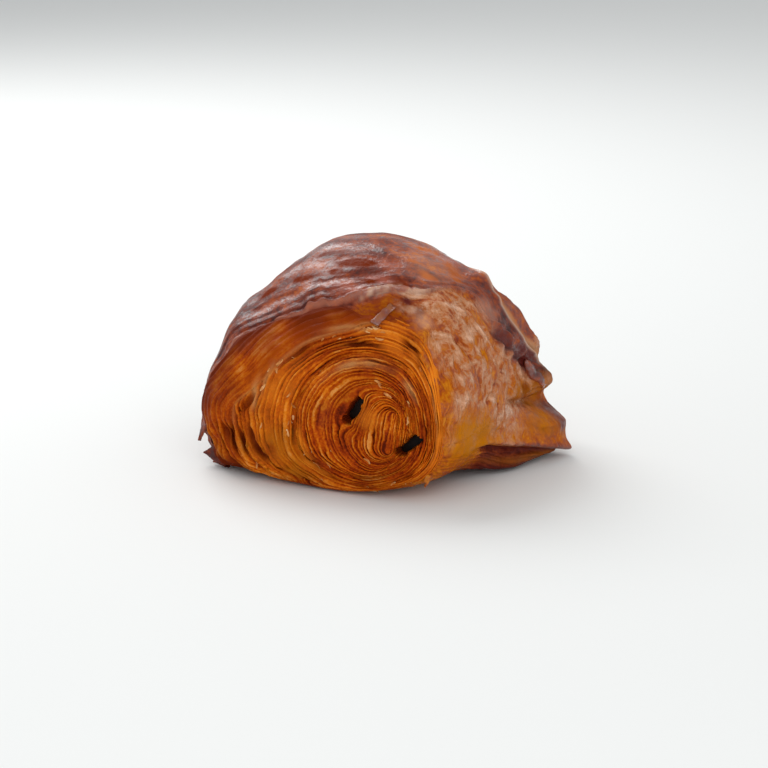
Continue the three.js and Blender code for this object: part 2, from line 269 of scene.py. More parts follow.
# %% From a grid of points to a closed mesh
def grid_piece(name, grid, attributes=None, poles=None, outward=True):
    """A mesh from a grid of points in mm whose columns close round the roll. With poles, a point closes
    each end of it, and without them its last row joins its first."""
    rows, columns = grid.shape[:2]
    index = np.arange(rows * columns).reshape(rows, columns)
    below = index if poles is None else index[:-1]
    above = np.roll(index, -1, 0) if poles is None else index[1:]
    faces = np.stack([below, np.roll(below, -1, 1), np.roll(above, -1, 1), above], -1).reshape(-1, 4).tolist()
    points = [grid.reshape(-1, 3)]
    if poles is not None:
        points.append(np.asarray(poles, float))
        first, last = rows * columns, rows * columns + 1
        faces += [[first, b, a] for a, b in zip(index[0], np.roll(index[0], -1))]
        faces += [[last, a, b] for a, b in zip(index[-1], np.roll(index[-1], -1))]
    if not outward:
        faces = [face[::-1] for face in faces]
    mesh = bpy.data.meshes.new(name)
    mesh.from_pydata(((np.concatenate(points) + SHIFT) * MM).tolist(), [], faces)
    mesh.polygons.foreach_set("use_smooth", [True] * len(mesh.polygons))
    for title, values in (attributes or {}).items():
        ends = [] if poles is None else [values[0].mean(), values[-1].mean()]
        layer = mesh.attributes.new(title, "FLOAT", "POINT")
        layer.data.foreach_set("value", np.append(values.ravel(), ends).astype(np.float32))
    piece = bpy.data.objects.new(name, mesh)
    bpy.context.scene.collection.objects.link(piece)
    print(name, "has", sum(len(f) - 2 for f in faces), "triangles")
    return piece


def grid_normals(grid):
    """Unit normals of an end's grid, whose columns close round. They point towards +y."""
    down = np.gradient(grid, axis=0)
    closed = np.concatenate([grid[:, -1:], grid, grid[:, :1]], 1)
    along = np.gradient(closed, axis=1)[:, 1:-1]
    normal = np.cross(along, down)
    return normal / np.maximum(np.linalg.norm(normal, axis=-1, keepdims=True), 1e-9)


def spread(start, end, count, density):
    """Values from start to end that lie closer together where the density is higher."""
    fine = np.linspace(start, end, 2000)
    total = np.concatenate([[0], np.cumsum(density((fine[1:] + fine[:-1]) / 2))])
    return np.interp(np.linspace(0, total[-1], count), total, fine)


def columns(count, *denser):
    """Angles all round the roll that lie closer near some, as (how much more, angle, half the arc)."""
    def density(angle):
        return 1 + sum(more * bell(angle, centre, span) for more, centre, span in denser)
    return spread(-90, 270, count + 1, density)[:-1]


# %% [markdown]
# ## Where each layer ends
# Three layers show one behind the other. The dark crust ends at its rim. The turn below it, smooth and
# amber, comes out from under the rim and ends further in. Inside it lie the edges of the leaves. Each of
# these lines is a short list of places, joined by a rounded chain. The crust's glazed top also
# ends in a thin crest on the lip, in front of the lobe that the solid's lip makes.

# %% The edges of the layers
PLUG_SHARE = 0.5
CRUST_EDGE = [(-90, 0.8), (-30, 0.77), (0, 0.73), (14, 0.705), (36, 0.717), (46, 0.707), (59, 0.674),
              (67, 0.67), (85, 0.66), (94, 0.705), (122, 0.72), (138, 0.8), (153, 0.868), (164, 0.875),
              (172, 0.905), (186, 0.955), (200, 0.972), (210, 0.99), (232, 0.985), (242, 0.9), (256, 0.8),
              (270, 0.8)]
SECOND_EDGE = [(-90, 0.8), (-30, 0.77), (0, 0.73), (14, 0.705), (36, 0.717), (46, 0.707), (59, 0.674),
               (67, 0.67), (85, 0.64), (99, 0.6), (115, 0.6), (140, 0.622), (158, 0.64), (170, 0.68),
               (182, 0.76), (206, 0.76), (224, 0.78), (250, 0.8), (270, 0.8)]
BARE = [(-90, 1), (150, 1), (166, 0.9), (184, 0.86), (191, 0.8), (196, 0), (270, 0)]
CREST = [(-12, 25), (0, 20), (5, 17), (13, 11.4), (19, 7), (25, 4.9), (30, 3.9), (36, 4.3), (41, 5.2),
         (46, 6), (56, 11), (68, 19), (82, 25)]
RIM = [(-12, 26), (-4, 17), (3, 10.5), (10, 2), (15, -4.5), (21, -8.5), (27, -9.5), (33, -9), (38, -6.5),
       (42, -8), (47, -13), (52, -18.5), (60, -21.2), (69, -22.8), (75, -24.6), (86, -27.2), (95, -28.6),
       (104, -29.2), (114, -29.4), (124, -29.2)]


def crust_edge(angle):
    return through(CRUST_EDGE, angle, 3)


def second_edge(angle):
    return np.minimum(through(SECOND_EDGE, angle, 3), crust_edge(angle))


def crest(angle):
    """The y at which the glazed top of the crust stops."""
    return np.minimum(through(CREST, angle), dome_reach(CRUST_SHARE, angle) - 5)


# Slow swells of the skin, as rise in mm, y, angle, half the reach along y and half the arc
SWELLS = [(2.0, 21.5, -2.5, 5, 5.5), (1.0, 1.5, 0.5, 5, 3.5), (1.3, 12, -3.5, 4, 3.5),
          (4.0, -2, -29, 11, 4.5), (1.1, 0, 149, 22, 7), (-3.4, -6, 167, 22, 8), (-2.0, 5, 48, 9, 4.5),
          (-1.7, 21, -10.5, 6, 2.5), (-2.2, -27, 203, 6, 4.5), (-1.6, 10, 38, 3.2, 6), (0.9, 3.5, 44, 2.5, 4)]
NOTCH = {"angle": 203, "span": 4.5, "deep": 2.2}
SETTLE = 1.3
MM_PER_DEGREE = 0.78


def near_line(y, angle, places, width):
    """1 on a line through (y, angle) places of the skin, falling off beside it within a width in mm."""
    corners = np.array(places, float) * (1, MM_PER_DEGREE)
    around = MM_PER_DEGREE * angle
    away = 99.0
    for start, end in zip(corners[:-1], corners[1:]):
        step = end - start
        part = ((y - start[0]) * step[0] + (around - start[1]) * step[1]) / (step @ step)
        near = start + np.clip(part, 0, 1)[..., None] * step
        away = np.minimum(away, np.hypot(y - near[..., 0], around - near[..., 1]))
    return bell(away, 0, width)


def skin_level(angle, y):
    """How far the skin stands above the plain roll: the solid's lip and deeper turn, and the swells."""
    past = smooth(-0.8, 0.8, y - rear_edge(angle))
    level = mix(lip_rise(angle, np.minimum(y, rear_edge(angle))), -rear_drop(angle), past)
    for rise, at_y, at_angle, reach, span in SWELLS:
        level = level + rise * bell(y, at_y, reach) * bell(angle, at_angle, span)
    return level - SETTLE * arc("settled", angle) * smooth(-27, -19, y)


# %% [markdown]
# ## The pattern of the leaves
# On the front end the leaves lie nested: the first ones are folded tightly beside the lower slot, and each
# next one reaches further to the left until they go round both slots as full rings. A number is given to
# every place of the end, the radius of the leaf that passes there. The centre of the rings slides from the
# lower slot to the core as they grow, and the rings part round the upper slot.

# %% The leaf that passes a place of the front end
WHORL = {"eye": (24.7, 19.6), "core": (16.2, 20.3), "radius": 16.5, "tilt": 82, "half": 6.2, "start": 0.9}
UPPER_SLOT = {"half": 2.8, "leaf": 11.6, "reach": 3.0}


def uneven(turn):
    """Makes some leaves thicker and some thinner than the others."""
    return turn + 0.22 * np.sin(1.7 * turn) + 0.1 * np.sin(3.9 * turn + 1)


def bar_distance(x, z, centre, tilt, half):
    """Distance from a straight bar in the end's plane, and the place along and beside it."""
    across, up = np.cos(np.radians(tilt)), np.sin(np.radians(tilt))
    along = (x - centre[0]) * across + (z - centre[1]) * up
    beside = (z - centre[1]) * across - (x - centre[0]) * up
    return np.hypot(np.maximum(np.abs(along) - half, 0), beside), along, beside


def whorl(share, x, z):
    ring = share * CORE_SPREAD
    leaf = ring
    for _ in range(14):
        grown = np.clip(leaf / WHORL["radius"], 0, 1)
        centre = [mix(a, b, grown) for a, b in zip(WHORL["eye"], WHORL["core"])]
        half = WHORL["half"] * (1 - grown) ** 1.5
        leaf = bar_distance(x, z, centre, WHORL["tilt"] - 8 * grown, half)[0] + WHORL["start"] * (1 - grown)
    leaf = mix(leaf, ring, smooth(13, 17, ring))
    slot_x, slot_z, tilt = STICKS["chocolate_stick_upper"]
    away = bar_distance(x, z, (slot_x, slot_z), tilt, UPPER_SLOT["half"])[0]
    return leaf + (UPPER_SLOT["leaf"] - leaf) * np.exp(-(away / UPPER_SLOT["reach"]) ** 1.5)


# %% [markdown]
# ## Leaves by Geometry Nodes
# Every leaf edge is the same thing again: a thin ridge with a groove beside it, wavy and now and then torn.
# That is a rule, so a node tree raises them on a plain grid. The grid carries two values at each point, the
# count of leaves up to there and how deep the relief is. The tree adds waviness to the count. Its whole part
# is the leaf, which picks a noise of its own, so each leaf swells and fades differently along its length.
# Its fraction is the place across the leaf, which a curve turns into a height.

# %% One function adds a node
def add(tree, kind, inputs=None, **settings):
    """Adds a node with its settings. Inputs are values, sockets or nodes, by name or number."""
    node = tree.nodes.new(kind)
    for name, value in settings.items():
        setattr(node, name, value)
    for key, value in (inputs or {}).items():
        if isinstance(value, bpy.types.Node):
            value = next(socket for socket in value.outputs if socket.enabled)
        if isinstance(value, bpy.types.NodeSocket):
            tree.links.new(value, node.inputs[key])
        else:
            node.inputs[key].default_value = value
    return node


# %% The leaf tree
LEAF_INPUTS = {"Depth": 1 * MM, "Waviness": 0.9, "Wave size": 7 * MM, "Gaps": 0.6, "Fine": 0.3, "Seed": 0.0}
LEAF_PROFILE = ((0.14, 0.1), (0.36, 0.86), (0.5, 1.0), (0.66, 0.84), (0.88, 0.12))
GRAIN, GRAINS_IN_LEAF = 8 * MM, 2.6


def leaf_tree():
    tree = bpy.data.node_groups.new("Laminated leaves", "GeometryNodeTree")
    face = tree.interface
    face.new_socket("Geometry", in_out="INPUT", socket_type="NodeSocketGeometry")
    for name, value in LEAF_INPUTS.items():
        face.new_socket(name, in_out="INPUT", socket_type="NodeSocketFloat").default_value = value
    face.new_socket("Material", in_out="INPUT", socket_type="NodeSocketMaterial")
    face.new_socket("Geometry", in_out="OUTPUT", socket_type="NodeSocketGeometry")
    given = add(tree, "NodeGroupInput")
    turn = add(tree, "GeometryNodeInputNamedAttribute", {"Name": "turn"}, data_type="FLOAT")
    depth = add(tree, "GeometryNodeInputNamedAttribute", {"Name": "depth"}, data_type="FLOAT")
    place = add(tree, "GeometryNodeInputPosition")
    seeded = add(tree, "ShaderNodeCombineXYZ", {"Z": given.outputs["Seed"]})
    place = add(tree, "ShaderNodeVectorMath", {0: place, 1: seeded}, operation="ADD")

    pitch = add(tree, "ShaderNodeMath", {0: 1.0, 1: given.outputs["Wave size"]}, operation="DIVIDE")
    wave = add(tree, "ShaderNodeTexNoise", {"Vector": place, "Scale": pitch, "Detail": 3.0, "Roughness": 0.6})
    wave = add(tree, "ShaderNodeMath", {0: wave, 1: -0.5}, operation="ADD")
    wave = add(tree, "ShaderNodeMath", {0: wave, 1: given.outputs["Waviness"]}, operation="MULTIPLY")
    count = add(tree, "ShaderNodeMath", {0: turn, 1: wave}, operation="ADD")

    leaf = add(tree, "ShaderNodeMath", {0: count}, operation="FLOOR")
    part = add(tree, "ShaderNodeMath", {0: count}, operation="FRACT")
    ridge = add(tree, "ShaderNodeFloatCurve", {"Value": part})
    points = ridge.mapping.curves[0].points
    points[0].location, points[1].location = (0.0, 0.0), (1.0, 0.0)
    for place_in_leaf, height in LEAF_PROFILE:
        points.new(place_in_leaf, height)
    ridge.mapping.update()
    own = add(tree, "ShaderNodeTexNoise", {"Vector": place, "W": leaf, "Scale": 1 / GRAIN, "Detail": 2.0},
              noise_dimensions="4D")
    own = add(tree, "ShaderNodeMapRange", {"Value": own, "From Min": 0.36, "From Max": 0.66, "To Min": 0.2,
                                           "To Max": 1.2})
    ridge = add(tree, "ShaderNodeMath", {0: ridge, 1: own}, operation="MULTIPLY")

    border = add(tree, "ShaderNodeMath", {0: count}, operation="ROUND")
    open_here = add(tree, "ShaderNodeTexNoise", {"Vector": place, "W": border, "Scale": 1 / (11 * MM),
                                                 "Detail": 2.0}, noise_dimensions="4D")
    open_here = add(tree, "ShaderNodeMapRange", {"Value": open_here, "From Min": 0.5, "From Max": 0.64})
    aside = add(tree, "ShaderNodeMath", {0: count, 1: border}, operation="SUBTRACT")
    aside = add(tree, "ShaderNodeMath", {0: aside}, operation="ABSOLUTE")
    aside = add(tree, "ShaderNodeMapRange", {"Value": aside, "From Min": 0.28, "From Max": 0.05})
    gap = add(tree, "ShaderNodeMath", {0: open_here, 1: aside}, operation="MULTIPLY")
    gap = add(tree, "ShaderNodeMath", {0: gap, 1: given.outputs["Gaps"]}, operation="MULTIPLY")

    across = add(tree, "ShaderNodeMath", {0: count, 1: GRAINS_IN_LEAF * GRAIN}, operation="MULTIPLY")
    fine = add(tree, "ShaderNodeTexNoise", {"Vector": place, "W": across, "Scale": 1 / GRAIN, "Detail": 2.0},
               noise_dimensions="4D")
    fine = add(tree, "ShaderNodeMath", {0: fine, 1: -0.5}, operation="ADD")
    fine = add(tree, "ShaderNodeMath", {0: fine, 1: given.outputs["Fine"]}, operation="MULTIPLY")

    height = add(tree, "ShaderNodeMath", {0: ridge, 1: gap}, operation="SUBTRACT")
    height = add(tree, "ShaderNodeMath", {0: height, 1: fine}, operation="ADD")
    raised = add(tree, "ShaderNodeMath", {0: height, 1: -0.5}, operation="ADD")
    raised = add(tree, "ShaderNodeMath", {0: raised, 1: depth}, operation="MULTIPLY")
    raised = add(tree, "ShaderNodeMath", {0: raised, 1: given.outputs["Depth"]}, operation="MULTIPLY")
    normal = add(tree, "GeometryNodeInputNormal")
    offset = add(tree, "ShaderNodeVectorMath", {0: normal, "Scale": raised}, operation="SCALE")
    moved = add(tree, "GeometryNodeSetPosition", {"Geometry": given.outputs["Geometry"], "Offset": offset})
    kept = moved
    for name, value in (("ridge", height), ("count", count)):
        kept = add(tree, "GeometryNodeStoreNamedAttribute", {"Geometry": kept, "Name": name, "Value": value},
                   data_type="FLOAT", domain="POINT")
    whole = add(tree, "GeometryNodeRealizeInstances", {"Geometry": kept})
    done = add(tree, "GeometryNodeSetMaterial", {"Geometry": whole, "Material": given.outputs["Material"]})
    add(tree, "NodeGroupOutput", {"Geometry": done})
    return tree


# %% The tree that scatters flakes
FLAKE_INPUTS = {"Density": 5e5, "Length": 2.8 * MM, "Lift": 0.6, "Taper": 2.4, "Seed": 4}


def flake_tree():
    """Small bent blades on the places of a surface that are marked flaky, lying along the leaves."""
    tree = bpy.data.node_groups.new("Scattered crisp flakes", "GeometryNodeTree")
    face = tree.interface
    face.new_socket("Geometry", in_out="INPUT", socket_type="NodeSocketGeometry")
    for name, value in FLAKE_INPUTS.items():
        kind = "NodeSocketInt" if name == "Seed" else "NodeSocketFloat"
        face.new_socket(name, in_out="INPUT", socket_type=kind).default_value = value
    face.new_socket("Centre", in_out="INPUT", socket_type="NodeSocketVector")
    face.new_socket("Material", in_out="INPUT", socket_type="NodeSocketMaterial")
    face.new_socket("Geometry", in_out="OUTPUT", socket_type="NodeSocketGeometry")
    given = add(tree, "NodeGroupInput")
    flaky = add(tree, "GeometryNodeInputNamedAttribute", {"Name": "flaky"}, data_type="FLOAT")
    density = add(tree, "ShaderNodeMath", {0: flaky, 1: given.outputs["Density"]}, operation="MULTIPLY")
    points = add(tree, "GeometryNodeDistributePointsOnFaces",
                 {"Mesh": given.outputs["Geometry"], "Density": density, "Seed": given.outputs["Seed"]})

    blade = add(tree, "GeometryNodeMeshCube", {"Size": (1, 0.3, 0.05), "Vertices X": 6, "Vertices Y": 3})
    corner = add(tree, "ShaderNodeSeparateXYZ", {0: add(tree, "GeometryNodeInputPosition")})
    square = add(tree, "ShaderNodeMath", {0: corner.outputs["X"], 1: corner.outputs["X"]},
                 operation="MULTIPLY")
    up = add(tree, "ShaderNodeMath", {0: square, 1: given.outputs["Lift"]}, operation="MULTIPLY")
    narrow = add(tree, "ShaderNodeMath", {0: square, 1: corner.outputs["Y"]}, operation="MULTIPLY")
    narrow = add(tree, "ShaderNodeMath", {0: narrow, 1: given.outputs["Taper"]}, operation="MULTIPLY")
    narrow = add(tree, "ShaderNodeMath", {0: narrow, 1: -1.0}, operation="MULTIPLY")
    bend = add(tree, "ShaderNodeCombineXYZ", {"Y": narrow, "Z": up})
    blade = add(tree, "GeometryNodeSetPosition", {"Geometry": blade, "Offset": bend})

    outward = add(tree, "ShaderNodeVectorMath", {0: add(tree, "GeometryNodeInputPosition"),
                                                 1: given.outputs["Centre"]}, operation="SUBTRACT")
    along = add(tree, "ShaderNodeVectorMath", {0: points.outputs["Normal"], 1: outward},
                operation="CROSS_PRODUCT")
    turn = add(tree, "FunctionNodeAlignRotationToVector", {"Vector": points.outputs["Normal"]}, axis="Z")
    turn = add(tree, "FunctionNodeAlignRotationToVector", {"Rotation": turn, "Vector": along}, axis="X",
               pivot_axis="Z")
    askew = add(tree, "FunctionNodeRandomValue", {0: (-0.3, -0.5, -0.5), 1: (0.3, 0.2, 0.5)},
                data_type="FLOAT_VECTOR")
    turn = add(tree, "FunctionNodeRotateRotation", {"Rotation": turn, "Rotate By": askew},
               rotation_space="LOCAL")
    size = add(tree, "FunctionNodeRandomValue", {2: 0.35, 3: 1.0, "Seed": 3}, data_type="FLOAT")
    size = add(tree, "ShaderNodeMath", {0: size, 1: given.outputs["Length"]}, operation="MULTIPLY")
    flakes = add(tree, "GeometryNodeInstanceOnPoints", {"Points": points, "Instance": blade, "Rotation": turn,
                                                        "Scale": size})
    whole = add(tree, "GeometryNodeRealizeInstances", {"Geometry": flakes})
    done = add(tree, "GeometryNodeSetMaterial", {"Geometry": whole, "Material": given.outputs["Material"]})
    add(tree, "NodeGroupOutput", {"Geometry": done})
    return tree


def run_tree(piece, tree, values):
    """Runs a node tree on a piece, with its inputs set by name, and keeps the result as a plain mesh."""
    modifier = piece.modifiers.new(tree.name, "NODES")
    modifier.node_group = tree
    sockets = {item.name: item.identifier for item in tree.interface.items_tree if item.in_out == "INPUT"}
    for name, value in values.items():
        modifier[sockets[name]] = value
    made = bpy.data.meshes.new_from_object(piece.evaluated_get(bpy.context.evaluated_depsgraph_get()))
    piece.modifiers.clear()
    piece.data = made
    return piece


# %% [markdown]
# ## Colours and finishes
# A baked crust is sugar and protein browned by heat under a film of egg glaze: almost black-red where it
# caught, mahogany over most of it, and amber where the glaze ran thin. The leaves never met the glaze, so
# they are matt and golden; their grooves are painted red-brown as shade and their crests lighter as
# highlight. Both start as a Principled surface. Colours are written as sRGB hex values, and one function
# turns them to the linear values that Blender expects. Values painted on the points say where a colour
# lies: plum for caught spots and for painted shade in the seam under the tail's hem, ochre for bare crumb,
# pale for dry edges of the leaves and for painted highlights and sheen on the crust, gold for bright leaves
# and for painted light on the right side, blush for a rosy tone and a painted rosy sheen, and amber and
# honey for windows where the glaze is clear. Brown is how browned a point is, and in the slots, the gaps
# between leaves, the creases, under the crust's rim and under the hem it also holds painted shade.

# %% Hex colours to linear ones
def colour(hex_value):
    parts = [int(hex_value[i:i + 2], 16) / 255 for i in (1, 3, 5)]
    return tuple(v / 12.92 if v <= 0.04045 else ((v + 0.055) / 1.055) ** 2.4 for v in parts) + (1.0,)


def new_material(name):
    material = bpy.data.materials.new(name)
    material.use_nodes = True
    material.node_tree.nodes.clear()
    return material, material.node_tree


def colour_ramp(tree, value, tones):
    """A ramp through (place, hex colour) pairs."""
    ramp = add(tree, "ShaderNodeValToRGB", {"Fac": value})
    elements = ramp.color_ramp.elements
    while len(elements) < len(tones):
        elements.new(0.5)
    for element, (place, tone) in zip(elements, tones):
        element.position = place
        element.color = colour(tone)
    return ramp


def painted(tree, base, tones):
    """Colours laid over a base where the values painted on the points say so."""
    for name, tone in tones.items():
        amount = add(tree, "ShaderNodeAttribute", attribute_name=name).outputs["Fac"]
        base = add(tree, "ShaderNodeMix", {0: amount, 6: base, 7: colour(tone)}, data_type="RGBA").outputs[2]
    return base


def streaks_along(tree, place, across, length):
    """A noise that changes fast across the leaves and slowly along them."""
    count = add(tree, "ShaderNodeAttribute", attribute_name="count").outputs["Fac"]
    count = add(tree, "ShaderNodeMath", {0: count, 1: across * length}, operation="MULTIPLY")
    return add(tree, "ShaderNodeTexNoise", {"Vector": place, "W": count, "Scale": 1 / length, "Detail": 4.0,
                                            "Roughness": 0.62}, noise_dimensions="4D")


# %% Matt golden leaves
# The tones run from deep in a groove, painted dark red-brown as shade, up to a leaf's crest, painted pale as
# highlight; the dough's own unevenness shifts them.
LEAF_TONES = ((0.0, "#4A1002"), (0.24, "#8C2C04"), (0.46, "#B84C04"), (0.7, "#D67410"), (0.98, "#E69A4C"))
LEAF_PAINTS = {"gold": "#EA8620", "ochre": "#AC600A", "amber": "#943800", "brown": "#6A2204",
               "plum": "#50261C", "pale": "#C48C54"}


def leaves_material():
    """Laminated dough, baked uncovered: dry and matt, so it scatters light widely and hardly shines."""
    material, tree = new_material("baked laminated leaves")
    place = add(tree, "ShaderNodeTexCoord").outputs["Object"]
    ridge = add(tree, "ShaderNodeAttribute", attribute_name="ridge").outputs["Fac"]
    even = add(tree, "ShaderNodeAttribute", attribute_name="even").outputs["Fac"]
    streaks = streaks_along(tree, place, 3.6, 6 * MM)
    broad = streaks_along(tree, place, 0.5, 15 * MM)
    patches = add(tree, "ShaderNodeTexNoise", {"Vector": place, "Scale": 1 / (6 * MM), "Detail": 4.0})
    uneven = add(tree, "ShaderNodeMix", {0: 0.45, 2: streaks, 3: patches}, data_type="FLOAT")
    uneven = add(tree, "ShaderNodeMix", {0: 0.42, 2: uneven, 3: broad}, data_type="FLOAT")
    uneven = add(tree, "ShaderNodeMapRange", {"Value": uneven, "From Min": 0.38, "From Max": 0.62,
                                              "To Min": -0.25, "To Max": 0.25})
    grain = add(tree, "ShaderNodeTexNoise", {"Vector": place, "Scale": 1 / (0.7 * MM), "Detail": 5.0})
    speck = add(tree, "ShaderNodeMapRange", {"Value": grain, "From Min": 0.3, "From Max": 0.7,
                                             "To Min": -0.13, "To Max": 0.13})
    wider = add(tree, "ShaderNodeMath", {0: even, 1: 1.0, 2: 1.0}, operation="MULTIPLY_ADD")
    uneven = add(tree, "ShaderNodeMath", {0: uneven, 1: wider, 2: speck}, operation="MULTIPLY_ADD")
    # Painted shade and highlight: the tone follows the height of the leaf relief, darker in the grooves and
    # lighter on the crests.
    level = add(tree, "ShaderNodeMix", {0: even, 2: ridge, 3: 0.45}, data_type="FLOAT")
    low = add(tree, "ShaderNodeMapRange", {"Value": level, "From Min": -0.6, "From Max": 1.2, "To Min": 0.04,
                                           "To Max": 0.84})
    tone = add(tree, "ShaderNodeMath", {0: low, 1: uneven}, operation="ADD")
    ramp = colour_ramp(tree, tone, LEAF_TONES)
    toned = painted(tree, ramp, LEAF_PAINTS)
    heights = add(tree, "ShaderNodeMix", {0: 0.55, 2: grain, 3: streaks}, data_type="FLOAT")
    bump = add(tree, "ShaderNodeBump", {"Height": heights, "Strength": 0.7, "Distance": 0.5 * MM})
    gloss = add(tree, "ShaderNodeAttribute", attribute_name="gloss").outputs["Fac"]
    shader = add(tree, "ShaderNodeBsdfPrincipled",
                 {"Base Color": toned, "Normal": bump, "Roughness": 0.55, "Specular IOR Level": 0.05,
                  "IOR": 1.45, "Coat Weight": gloss, "Coat Roughness": 0.2})
    add(tree, "ShaderNodeOutputMaterial", {"Surface": shader})
    return material


# %% Glazed crust
CRUST_TONES = ((0.0, "#C87818"), (0.22, "#B25A10"), (0.42, "#964420"), (0.62, "#74301C"), (0.82, "#521A10"),
               (1.0, "#34100A"))
FILM_TONES = ((0.4, "#642206"), (0.455, "#A65626"), (0.51, "#C07C50"), (0.6, "#CC9068"), (0.72, "#DEB094"))
# On the crust, pale paints highlights and sheen, blush partly a rosy sheen, and plum also the shade in the
# seam under the hem.
CRUST_PAINTS = {"blush": "#A2503A", "amber": "#702400", "honey": "#B45604", "ochre": "#BA6E04",
                "plum": "#5C1E18", "pale": "#D3A98C"}


def crust_material():
    """Egg-glazed crust, browned: a hard clear film over a deep red-brown, so it shines in soft streaks."""
    material, tree = new_material("glazed browned crust")
    place = add(tree, "ShaderNodeTexCoord").outputs["Object"]
    brown = add(tree, "ShaderNodeAttribute", attribute_name="brown").outputs["Fac"]
    ridge = add(tree, "ShaderNodeAttribute", attribute_name="ridge").outputs["Fac"]
    streaks = streaks_along(tree, place, 3.0, 8 * MM)
    patches = add(tree, "ShaderNodeTexNoise", {"Vector": place, "Scale": 1 / (4.5 * MM), "Detail": 4.0,
                                               "Roughness": 0.6, "Distortion": 0.6})
    tone = add(tree, "ShaderNodeMix", {0: 0.55, 2: streaks, 3: patches}, data_type="FLOAT")
    tone = add(tree, "ShaderNodeMapRange", {"Value": tone, "From Min": 0.36, "From Max": 0.64,
                                            "To Min": -0.24, "To Max": 0.24})
    tone = add(tree, "ShaderNodeMath", {0: tone, 1: brown}, operation="ADD")
    grain = add(tree, "ShaderNodeTexNoise", {"Vector": place, "Scale": 1 / (1.1 * MM), "Detail": 5.0})
    speck = add(tree, "ShaderNodeMapRange", {"Value": grain, "From Min": 0.35, "From Max": 0.65,
                                             "To Min": -0.1, "To Max": 0.12})
    tone = add(tree, "ShaderNodeMath", {0: tone, 1: speck}, operation="ADD")
    ramp = colour_ramp(tree, tone, CRUST_TONES)
    mottle = add(tree, "ShaderNodeAttribute", attribute_name="mottle").outputs["Fac"]
    flow = add(tree, "ShaderNodeVectorMath", {0: place, 1: (1.0, 1.2, 1.0)}, operation="MULTIPLY")
    skin = add(tree, "ShaderNodeTexNoise", {"Vector": flow, "Scale": 1 / (4.5 * MM), "Detail": 6.0,
                                            "Roughness": 0.66, "Distortion": 0.35})
    film = add(tree, "ShaderNodeMapRange", {"Value": skin, "From Min": 0.4, "From Max": 0.51})
    film = add(tree, "ShaderNodeMath", {0: film, 1: mottle}, operation="MULTIPLY")
    island = add(tree, "ShaderNodeMapRange", {"Value": skin, "From Min": 0.5, "From Max": 0.6})
    island = add(tree, "ShaderNodeMath", {0: island, 1: film}, operation="MULTIPLY")
    film_tone = colour_ramp(tree, skin, FILM_TONES)
    mixed = add(tree, "ShaderNodeMix", {0: film, 6: ramp, 7: film_tone}, data_type="RGBA").outputs[2]
    toned = painted(tree, mixed, CRUST_PAINTS)
    heights = add(tree, "ShaderNodeMix", {0: 0.5, 2: streaks, 3: grain}, data_type="FLOAT")
    heights = add(tree, "ShaderNodeMix", {0: 0.3, 2: heights, 3: ridge}, data_type="FLOAT")
    bump = add(tree, "ShaderNodeBump", {"Height": heights, "Strength": 0.55, "Distance": 0.9 * MM})
    bump = add(tree, "ShaderNodeBump", {"Height": island, "Strength": 0.6, "Distance": 0.5 * MM,
                                        "Normal": bump})
    gloss = add(tree, "ShaderNodeAttribute", attribute_name="gloss").outputs["Fac"]
    broken = add(tree, "ShaderNodeMix", {0: 0.5, 2: streaks, 3: grain}, data_type="FLOAT")
    sheen = add(tree, "ShaderNodeMapRange", {"Value": broken, "From Min": 0.42, "From Max": 0.58,
                                             "To Min": 0.1, "To Max": 1.9})
    sheen = add(tree, "ShaderNodeMath", {0: gloss, 1: sheen}, operation="MULTIPLY")
    shine = add(tree, "ShaderNodeMath", {0: island, 1: 0.7, 2: sheen}, operation="MULTIPLY_ADD")
    inner = add(tree, "ShaderNodeMath", {0: gloss, 1: 0.5}, operation="MULTIPLY")
    shader = add(tree, "ShaderNodeBsdfPrincipled",
                 {"Base Color": toned, "Normal": bump, "Roughness": 0.5, "Specular IOR Level": inner,
                  "IOR": 1.48, "Coat Weight": shine, "Coat Roughness": 0.14, "Coat IOR": 1.5,
                  "Coat Normal": bump})
    add(tree, "ShaderNodeOutputMaterial", {"Surface": shader})
    return material


# %% Crisp flakes
def flake_material():
    """Single leaves that dried out and curled: paler than the rest, matt and a little rough."""
    material, tree = new_material("crisp dry flakes")
    place = add(tree, "ShaderNodeTexCoord").outputs["Object"]
    patches = add(tree, "ShaderNodeTexNoise", {"Vector": place, "Scale": 1 / (2 * MM), "Detail": 3.0})
    ramp = colour_ramp(tree, patches, ((0.3, "#A65A1E"), (0.5, "#CC8A48"), (0.7, "#E6BC88")))
    shader = add(tree, "ShaderNodeBsdfPrincipled", {"Base Color": ramp, "Roughness": 0.5,
                                                    "Specular IOR Level": 0.3, "IOR": 1.45})
    add(tree, "ShaderNodeOutputMaterial", {"Surface": shader})
    return material


# %% Chocolate
def chocolate_material():
    """Dark chocolate that melted in the oven and set again: satin, nearly black, with a faint bloom."""
    material, tree = new_material("baked dark chocolate")
    place = add(tree, "ShaderNodeTexCoord").outputs["Object"]
    bloom = add(tree, "ShaderNodeTexNoise", {"Vector": place, "Scale": 1 / (2 * MM), "Detail": 3.0})
    ramp = colour_ramp(tree, bloom, ((0.3, "#0C0402"), (0.7, "#1C0D07")))
    bump = add(tree, "ShaderNodeBump", {"Height": bloom, "Strength": 0.4, "Distance": 0.3 * MM})
    shader = add(tree, "ShaderNodeBsdfPrincipled", {"Base Color": ramp, "Normal": bump, "Roughness": 0.5,
                                                    "Specular IOR Level": 0.15, "IOR": 1.5})
    add(tree, "ShaderNodeOutputMaterial", {"Surface": shader})
    return material


LEAVES, CRUST = leaves_material(), crust_material()
FLAKE, CHOCOLATE = flake_material(), chocolate_material()
for finish in (LEAVES, CRUST, FLAKE, CHOCOLATE):
    print(finish.name, "has", len(finish.node_tree.nodes), "nodes")

